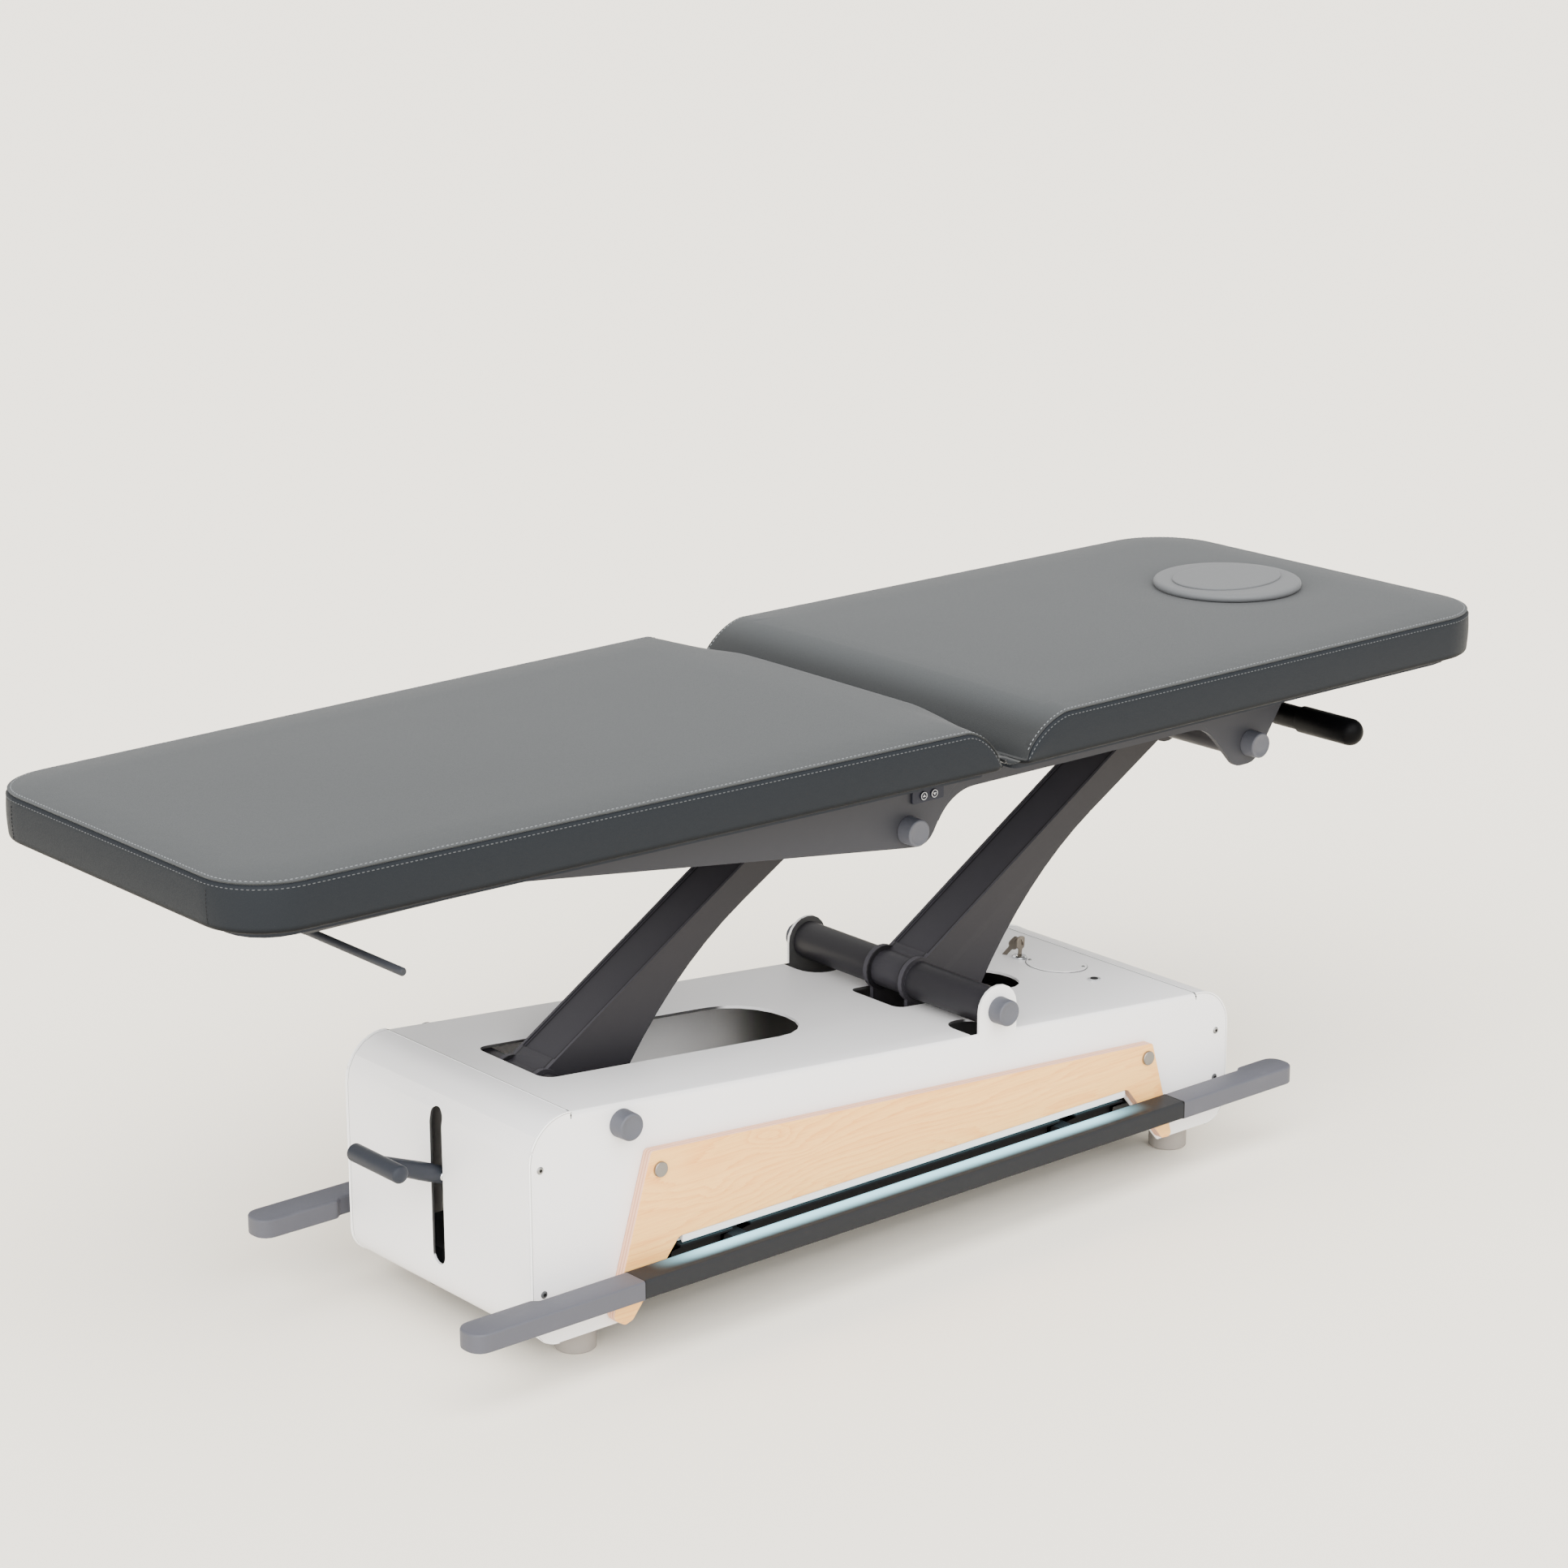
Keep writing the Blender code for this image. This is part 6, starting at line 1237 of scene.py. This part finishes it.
class TABLE_OT_arms(bpy.types.Operator):
    """Lift arms with smooth cross tubes and collars"""
    bl_idname = "table.arms"
    bl_label = "Lift arms"

    def execute(self, context):
        sides = context.scene.table_light.sides
        for arm, low_cap, high_cap, tube in (("arm_foot", "a", "c", 0.019), ("arm_head", "b", "d", 0.025)):
            copy_node(arm, arm + "_coat", "arm_coat", 0.0008)
            for cap, radius in ((low_cap, tube), (high_cap, 0.022)):
                x, _, z = middle(f"axle_cap_{cap}_near")
                start, reach = 0.0392, 0.1877 if cap in "ab" else 0.1837
                r = radius + 0.0003
                profile = [(r - 0.002, start), (r, start), (r, reach - 0.0010), (r - 0.0008, reach),
                           (r - 0.006, reach), (r - 0.006, start)]
                for side, sign in SIDES:
                    piece(f"{arm}_tube_{cap}_{side}", arm, "tube_coat", "arm_paint",
                          turned(profile, (x, 0, z), (0, sign, 0), sides), 35.0, around=True)
        return {"FINISHED"}


class TABLE_OT_side_panels(bpy.types.Operator):
    """Wooden side panels with their screws, a dark liner of painted shade in the recess, and light strips"""
    bl_idname = "table.side_panels"
    bl_label = "Side panels"

    def execute(self, context):
        sides = context.scene.table_light.sides
        profile = [(0.0, -0.004), (0.0098, -0.004), (0.0098, 0.0032), (0.0092, 0.0040), (0.0080, 0.0042), (0.0, 0.0043)]
        for side, sign in SIDES:
            copy_node("wood_panel_" + side, f"panel_{side}", "panel_wood", 0.0011)
            low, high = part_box("wood_panel_" + side)
            face = high.y if sign > 0 else low.y
            for index, (x, z) in enumerate(((-0.383, 0.235), (0.451, 0.1765))):
                piece(f"panel_screw_{side}_{index}", "base", "panel_steel", "steel",
                      turned(profile, (x, face, z), (0, sign, 0), sides), 30.0)
            self.strip(side, sign)
            self.recess(side, sign)
        return {"FINISHED"}

    def strip(self, side, sign):
        """Channel coloured white for a painted reflection of its aluminium, deeper than its solid, with a frosted
        strip: two sections carried along X.
        """
        low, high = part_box("light_bar_" + side)
        low.z -= 0.0030
        inner, outer = sorted((abs(low.y), abs(high.y)))
        section = [(inner, high.z), (outer - 0.0010, high.z), (outer, high.z - 0.0010), (outer, high.z - 0.0022),
                   (outer - 0.0004, high.z - 0.0025), (outer, high.z - 0.0028), (outer, low.z + 0.0008),
                   (outer - 0.0008, low.z), (outer - 0.0022, low.z), (outer - 0.0026, low.z + 0.0022),
                   (inner + 0.0016, low.z + 0.0022), (inner + 0.0012, low.z), (inner, low.z)]
        piece(f"light_channel_{side}", "base", "lip_paint", "light_bar",
              self.carried(section, (low.x - 0.0025, high.x + 0.0025), sign), 30.0, ["light_bar_" + side])
        lamp = [(inner + 0.0018, low.z + 0.0021), (outer - 0.0029, low.z + 0.0021), (outer - 0.0031, low.z + 0.0003),
                (outer - 0.0045, low.z - 0.0002), (inner + 0.0030, low.z - 0.0002), (inner + 0.0018, low.z + 0.0003)]
        piece(f"light_diffuser_{side}", "base", "diffuser", "light_bar",
              self.carried(lamp, (low.x + 0.004, high.x - 0.004), sign))

    def carried(self, section, reach, sign):
        """Section across X carried from one end to the other, closed at both ends by rows drawn to a point."""
        section = np.array(section)
        ring = np.column_stack([np.zeros(len(section)), sign * section[:, 0], section[:, 1]])
        spot = np.repeat(ring.mean(axis=0)[None], len(ring), axis=0)
        grid = np.stack([spot, ring, ring, spot])
        grid[:2, :, 0] = reach[0]
        grid[2:, :, 0] = reach[1]
        return grid

    def recess(self, side, sign):
        """Dark liner behind the foot bar, a dark sheet of painted shade in the opening: an angled section along X, left
        open where the bar's arms pass.
        """
        section = [(0.1760, 0.0860), (0.1795, 0.0860), (0.1795, 0.1232), (0.2040, 0.1232), (0.2040, 0.1258),
                   (0.1760, 0.1258)]
        for index, reach in enumerate(((-0.350, -0.2675), (-0.2385, 0.2925), (0.3215, 0.409))):
            piece(f"recess_liner_{side}_{index}", "base", "liner_plastic", "black_plastic",
                  self.carried(section, reach, sign), 30.0)


class TABLE_OT_foot_bars(bpy.types.Operator):
    """Foot bars with their light ends"""
    bl_idname = "table.foot_bars"
    bl_label = "Foot bars"

    def execute(self, context):
        for side, sign in SIDES:
            copy_node("foot_bar_" + side, f"bar_{side}", "bar_plastic", 0.0008)
            low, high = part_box("foot_bar_" + side)
            outer = sorted((abs(low.y), abs(high.y)))[1]
            for end, x in (("foot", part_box(f"foot_bar_end_foot_{side}")[1].x),
                           ("head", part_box(f"foot_bar_end_head_{side}")[0].x)):
                copy_node(f"foot_bar_end_{end}_{side}", f"bar_end_{end}_{side}", "tip_plastic", 0.0007)
                self.gasket(f"bar_joint_{end}_{side}", x, sign, (outer - 0.039, outer), (low.z, high.z), side)
        return {"FINISHED"}

    def gasket(self, name, x, sign, reach, rise, side):
        """Thin dark joint between a bar and its end: a rounded outline drawn at both faces."""
        grow, round_off, half = 0.00015, 0.002, 0.0007
        inner, outer = reach[0] - grow, reach[1] + grow
        low, high = rise[0] - grow, rise[1] + grow
        line = rounded([(inner, low, round_off), (outer, low, round_off), (outer, high, round_off),
                        (inner, high, round_off)], 0.02, 5)[0]
        rows = []
        for share, at in ((0.0, -half), (1.0, -half), (1.0, half), (0.0, half)):
            spot = line.mean(axis=0) + share * (line - line.mean(axis=0))
            rows.append(np.column_stack([np.full(len(line), x + at), sign * spot[:, 0], spot[:, 1]]))
        piece(name, "foot_bar_" + side, "dark_hole", "bar_plastic", np.stack(rows))


class TABLE_OT_tread_lever(bpy.types.Operator):
    """Tread lever of the castors with its round crossbar, link plate and bolt"""
    bl_idname = "table.tread_lever"
    bl_label = "Tread lever"

    def execute(self, context):
        pivot, bar = np.array((-0.500, 0.0, 0.186)), np.array((-0.6515, 0.0, 0.2495))
        half, thick = 0.053, 0.0115
        profile = [(0.0, -half)] + [(thick * math.sin(a), -half + 0.006 * (1 - math.cos(a)))
                                    for a in np.linspace(0.2, 1.57, 10)]
        profile += [(r, -o) for r, o in reversed(profile)]
        piece("tread_crossbar", "tread", "lever_plastic", "black_plastic",
              turned(profile, bar, (0, 1, 0), 64), 50.0, ["castor_lever"])
        run = pivot - bar
        length = np.linalg.norm(run)
        stem = [(0.0, 0.0), (0.0098, 0.002), (0.0104, 0.016), (0.0112, 0.050), (0.0117, 0.066), (0.0117, 0.082),
                (0.0112, 0.086), (0.0112, length - 0.010), (0.0, length - 0.010)]
        piece("tread_stem", "tread", "lever_plastic", "black_plastic", turned(stem, bar, run, 64), 50.0)
        hub = [(0.0064, -0.0125), (0.0120, -0.0125), (0.0130, -0.0115), (0.0130, 0.0115), (0.0120, 0.0125),
               (0.0064, 0.0125)]
        piece("tread_hub", "tread", "frame_coat", "black_plastic", turned(hub, pivot, (0, 1, 0), 64), around=True)
        self.link(pivot)
        screw("tread_bolt", "tread", "chrome", "black_plastic", (-0.5630, -0.0112, 0.2125), (0, -1, 0), 0.0052, 35.0)
        return {"FINISHED"}

    def link(self, pivot):
        """Link plate: a rounded outline and its eye as rows, with both faces joined round the eye."""
        drop = np.array((pivot[0] - 0.045, pivot[2] - 0.018))
        angle = circle(96)
        tall = np.where(np.sin(angle) > 0, 3.4, 1.12)
        wide = np.where(np.sin(angle) > 0, 0.95, 1.0)
        outer = drop + 0.0118 * np.stack([wide * np.cos(angle), tall * np.sin(angle)], -1)
        eye = drop + 0.0042 * np.stack([np.cos(angle), np.sin(angle)], -1)
        half = 0.0034
        rows = [np.column_stack([line[:, 0], np.full(96, y), line[:, 1]])
                for line, y in ((outer, -half), (outer, half), (eye, half), (eye, -half))]
        piece("tread_link", "tread", "steel", "black_plastic", np.stack(rows), 35.0, around=True)


class TABLE_OT_table_sides(bpy.types.Operator):
    """Side plates, button panel, buttons and their marks, roll bar"""
    bl_idname = "table.table_sides"
    bl_label = "Side plates and buttons"

    def execute(self, context):
        for side, sign in SIDES:
            copy_node("side_plate_" + side, f"plate_{side}", "plate_coat", 0.0008)
            self.rail(side, sign)
        copy_node("button_panel", "button_panel_frame", "button_plastic", 0.0007)
        copy_node("paper_roll_bar", "roll_bar", "roll_bar_coat")
        for node, way in (("button_up", 1.0), ("button_down", -1.0)):
            low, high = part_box(node)
            x, _, z = middle(node)
            radius = (high.x - low.x) / 2
            profile = [(0.0, -high.y), (radius, -high.y), (radius, -low.y - 0.0008)]
            profile += arc(0.2, 1.5, (radius - 0.0010, -low.y - 0.0010), 0.0010, 6) + [(0.0, -low.y - 0.0002)]
            piece(node + "_dome", node, "button_plastic", "tip_plastic",
                  turned(profile, (x, 0, z), (0, -1, 0), 64), replaced=[node])
            front = low.y + 0.00005
            ring = [(0.0044, 0.0), (0.0049, 0.0), (0.0049, 0.0003), (0.0044, 0.0003)]
            piece(node + "_ring", node, "white_print", "tip_plastic",
                  turned(ring, (x, front, z), (0, -1, 0), 64), around=True)
            arrow = np.array([(-0.0022, -0.0010), (0.0022, -0.0010), (0.0022, -0.0004), (0.0009, -0.0004),
                              (0.0, 0.0022), (-0.0009, -0.0004), (-0.0022, -0.0004)]) * (1.0, way)
            rows = [np.column_stack([x + arrow[:, 0] * s, np.full(7, front - d), z + arrow[:, 1] * s])
                    for s, d in ((0.0, 0.0), (1.0, 0.0), (1.0, 0.0003), (0.0, 0.0003))]
            piece(node + "_arrow", node, "white_print", "tip_plastic", np.stack(rows))
        return {"FINISHED"}

    def rail(self, side, sign):
        """Lower edge of a side plate between its lobes: two wide arcs and a straight run, a hair inside its faces.

        A ring of four points, two on the edge and two inside the plate, is carried from arc to arc.
        """
        low, high, start, end = 0.6130, 0.6252, 0.1425, 0.5354
        foot_round, head_round, inset = 0.070, 0.060, 0.0003
        edge = np.concatenate([
            arc(math.radians(150.0), math.radians(90.0), (start, low - foot_round), foot_round, 13),
            arc(math.radians(90.0), math.radians(41.5), (end, low - head_round), head_round, 13)])
        knots = (0.0, 0.5, 1.0, 1.0001, 1.5, 2.0)
        walk = np.concatenate([np.linspace(0.0, 1.0, 13), np.linspace(1.0001, 2.0, 13)])
        corners = np.array(((0.0795, 0.5795), (0.1045, high), (start, high), (end, high), (0.5575, high),
                            (0.5835, 0.5960)))
        within = read_along(walk, knots, corners)
        inner, outer = sorted(abs(corner.y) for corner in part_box("side_plate_" + side))
        inner, outer = inner + inset, outer - inset
        ring = np.stack([np.column_stack([line[:, 0], np.full(len(line), sign * y), line[:, 1]])
                         for line, y in ((edge, inner), (edge, outer), (within, outer), (within, inner))], axis=1)
        ends = np.repeat(ring[[0, -1]].mean(axis=1, keepdims=True), 4, axis=1)
        piece(f"plate_rail_{side}", "table", "plate_coat", "plate_paint",
              np.concatenate([ends[:1], ring, ends[1:]]), 35.0)


class TABLE_OT_release(bpy.types.Operator):
    """Release lever of the head section with its grip"""
    bl_idname = "table.release"
    bl_label = "Release lever"

    def execute(self, context):
        x, _, z = middle("release_grip")
        end, radius, neck, step = -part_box("release_grip")[0].y, 0.0185, 0.0160, 0.1955
        profile = [(0.0068, 0.1500), (neck - 0.001, 0.1500), (neck, 0.1510), (neck, step - 0.0012),
                   (neck + 0.0006, step), (radius - 0.0012, step), (radius, step + 0.0012), (radius, end - radius)]
        profile += arc(0.1, 1.5707, (0.0, end - radius), radius, 14)
        profile += [(0.0, end - radius + 0.001), (0.0068, end - radius)]
        piece("release_grip_sleeve", "release", "black_plastic", "black_plastic",
              turned(profile, (x, 0, z), (0, -1, 0), 72), 45.0, ["release_grip"], around=True)
        copy_node("release_lever", "release_rod", "black_plastic")
        return {"FINISHED"}


class TABLE_OT_keys(bpy.types.Operator):
    """Key switch with two keys on a ring"""
    bl_idname = "table.keys"
    bl_label = "Key switch and keys"

    def execute(self, context):
        copy_node("key_switch", "key_switch_bezel", "chrome", 0.0004)
        seat = np.array((0.462, 0.055, 0.247824))
        self.key("key_in_lock", seat + TOP_UP * 0.0045, TOP_UP, TOP_ALONG, ["key"])
        hole = seat + TOP_UP * 0.0275
        angle = np.linspace(0, 2 * np.pi, 49)[:, None]
        loop = np.cos(angle) * np.array((0.25, -0.95, 0.15)) + np.sin(angle) * np.array((0.2, 0.1, -0.97))
        loop = hole + 0.0072 * loop + np.array((0.0, 0.0040, -0.0060))
        piece("key_loop", "key", "key_metal", "key_nickel", swept(loop, 0.0007, 12), 60.0)
        lean = unit(np.array((-0.30, 0.55, -0.78)))
        flat = unit(np.cross(lean, (1.0, 0.2, 0.1)))
        self.key("key_spare", hole + np.array((0.0, 0.0085, -0.0050)) + lean * 0.022, -lean, flat, [])
        return {"FINISHED"}

    def key(self, name, foot, up, side, replaced):
        """Flat key: half widths along its length give its outline, drawn twice at the two faces, with rounded rims."""
        out = np.cross(side, up)
        height = np.array((-0.0080, 0.0, 0.0060, 0.0085, 0.0105, 0.0130, 0.0200, 0.0245, 0.0262, 0.0270))
        half = np.array((0.0028, 0.0030, 0.0030, 0.0034, 0.0062, 0.0072, 0.0072, 0.0066, 0.0048, 0.0020))
        rows = []
        for share, depth in ((0.0, -0.0011), (0.93, -0.0011), (1.0, -0.0007), (1.0, 0.0007), (0.93, 0.0011),
                             (0.0, 0.0011)):
            edge = np.concatenate([np.column_stack([half * share, height]),
                                   np.column_stack([-half * share, height])[::-1]])
            rows.append(foot + edge[:, :1] * side + edge[:, 1:] * up + depth * out)
        piece(name, "key", "key_metal", "key_nickel", np.stack(rows), 35.0, replaced)


class TABLE_OT_under_parts(bpy.types.Operator):
    """Feet, wheels and what lies inside and underneath"""
    bl_idname = "table.under_parts"
    bl_label = "Feet, wheels and inner parts"

    def execute(self, context):
        for end in ("foot", "head"):
            for side, _ in SIDES:
                self.foot(f"levelling_foot_{end}_{side}")
                copy_node(f"castor_wheel_{end}_{side}", f"wheel_{end}_{side}_tyre", "wheel_rubber")
        finishes = {"base_frame": "frame_coat", "table_frame": "frame_coat", "head_frame": "frame_coat",
                    "castor_carriage": "frame_coat", "front_board": "board_wood", "head_board": "board_wood",
                    "control_box": "grey_plastic", "lift_actuator": "grey_plastic", "actuator_rod": "steel",
                    "gas_spring_cylinder": "black_plastic", "gas_spring_rod": "chrome", "hinge_pin": "steel"}
        for node, finish in finishes.items():
            slots = NODES[node].data.materials
            slots.clear()
            slots.append(FINISHES[finish].material)
        return {"FINISHED"}

    def foot(self, node):
        """Levelling foot: a turned pad with a rolled rim and its stud."""
        low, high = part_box(node)
        x, y, _ = middle(node)
        radius = (high.x - low.x) / 2
        profile = [(0.0, 0.0), (radius - 0.003, 0.0)] + arc(math.radians(-80), 0.0, (radius - 0.003, 0.003), 0.003, 6)
        profile += [(radius, 0.029), (radius - 0.0008, 0.0300), (radius - 0.0008, 0.0312), (radius, 0.0322),
                    (radius, 0.0400), (radius - 0.0016, 0.0430), (radius - 0.003, 0.0446), (0.006, 0.0446),
                    (0.006, high.z), (0.0, high.z)]
        piece(node + "_pad", "base", "foot_plastic", "foot_rubber",
              turned(profile, (x, y, 0), (0, 0, 1), 72), 35.0, [node])


CAMERA_PLACE = (-3.1032, -3.6673, 1.9997)
CAMERA_TURN = (-40.2153, 16.2478, -0.1942)
CAMERA_SHIFT = -0.0031


class TABLE_OT_stage(bpy.types.Operator):
    """Pale floor, soft studio light and the camera"""
    bl_idname = "table.stage"
    bl_label = "Stage"

    def execute(self, context):
        light = context.scene.table_light
        reach = np.linspace(-40.0, 40.0, 9)
        grid = np.stack(np.meshgrid(reach, reach, [0.0], indexing="ij"), -1)[:, :, 0]
        floor = skin("floor", [grid], wrap=False)
        finish = Finish("floor_paper", light.floor, 0.9)
        finish.set("Base Color", finish.shaded(finish.colour, 0.995 + 0.01 * finish.noise(2.0)))
        finish.set("Specular IOR Level", 0.1)
        floor.data.materials.append(finish.material)
        self.sky(context.scene, light)
        for name, aim, strength, angle in (("key_light", (0.35, 0.72, -0.78), light.key, 70.0),
                                           ("fill_light", (0.90, 0.15, -0.45), light.key * 0.46, 60.0)):
            lamp = bpy.data.lights.new(name, "SUN")
            lamp.energy = strength
            lamp.angle = math.radians(angle)
            made = bpy.data.objects.new(name, lamp)
            made.rotation_euler = Vector(aim).to_track_quat("-Z", "Y").to_euler()
            context.scene.collection.objects.link(made)
        self.camera(context.scene, light.lens)
        return {"FINISHED"}

    def sky(self, scene, light):
        """Pale surroundings, brightest overhead and dim along the horizon."""
        world = bpy.data.worlds.new("studio")
        world.use_nodes = True
        nodes = Nodes(world.node_tree)
        back = world.node_tree.nodes["Background"]
        nodes.fill(back.inputs["Color"], tone(253, 251, 247))
        way = nodes.node("ShaderNodeTexCoord", {}, {}, "Generated")
        up = nodes.axis("Z", way)
        front = (nodes.axis("X", way) * -0.5 - nodes.axis("Y", way) * 0.86).ramp(-0.2, 1.0)
        nodes.fill(back.inputs["Strength"], (up.ramp(-0.2, 1.0) * 0.90 + front * 0.55 + 0.12) * light.sky)
        scene.world = world

    def camera(self, scene, lens):
        """Camera at the photograph's place, turned by azimuth, elevation and a slight roll."""
        azimuth, elevation, roll = (math.radians(a) for a in CAMERA_TURN)
        back = Vector((math.sin(azimuth) * math.cos(elevation), -math.cos(azimuth) * math.cos(elevation),
                       math.sin(elevation)))
        right = Vector((0.0, 0.0, 1.0)).cross(back).normalized()
        up = back.cross(right)
        right, up = (right * math.cos(roll) + up * math.sin(roll), up * math.cos(roll) - right * math.sin(roll))
        turn = Matrix((right, up, back)).transposed().to_4x4()
        data = bpy.data.cameras.new("camera")
        data.lens = lens
        data.sensor_width = 36.0
        data.shift_x = CAMERA_SHIFT
        data.clip_end = 200.0
        made = bpy.data.objects.new("camera", data)
        made.matrix_world = Matrix.Translation(CAMERA_PLACE) @ turn
        scene.collection.objects.link(made)
        scene.camera = made


OPERATORS = (TABLE_OT_stage, TABLE_OT_cushions, TABLE_OT_gap_gussets, TABLE_OT_face_plug, TABLE_OT_housing,
             TABLE_OT_caps, TABLE_OT_arms, TABLE_OT_side_panels, TABLE_OT_foot_bars, TABLE_OT_tread_lever,
             TABLE_OT_table_sides, TABLE_OT_release, TABLE_OT_keys, TABLE_OT_under_parts)
SETTINGS = (("table_pad", PadSettings), ("table_paint", PaintSettings), ("table_wood", WoodSettings),
            ("table_light", LightSettings))


class TABLE_PT_looks(bpy.types.Panel):
    """Sizes, colours and pieces of the table"""
    bl_label = "Physiotherapy table"
    bl_idname = "TABLE_PT_looks"
    bl_space_type = "VIEW_3D"
    bl_region_type = "UI"
    bl_category = "Table"

    def draw(self, context):
        for name, group in SETTINGS:
            box = self.layout.box()
            for key in group.__annotations__:
                box.prop(getattr(context.scene, name), key)
        for operator in OPERATORS:
            self.layout.operator(operator.bl_idname)


def register():
    """Add the settings, operators and panel."""
    for name, group in SETTINGS:
        bpy.utils.register_class(group)
        setattr(bpy.types.Scene, name, PointerProperty(type=group))
    for each in (*OPERATORS, TABLE_PT_looks):
        bpy.utils.register_class(each)


def unregister():
    """Take them away again."""
    for each in reversed((*OPERATORS, TABLE_PT_looks)):
        bpy.utils.unregister_class(each)
    for name, group in reversed(SETTINGS):
        delattr(bpy.types.Scene, name)
        bpy.utils.unregister_class(group)


def main():
    """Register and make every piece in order."""
    register()
    make_finishes(bpy.context.scene)
    for operator in OPERATORS:
        group, name = operator.bl_idname.split(".")
        getattr(getattr(bpy.ops, group), name)()


if __name__ == "__main__":
    main()
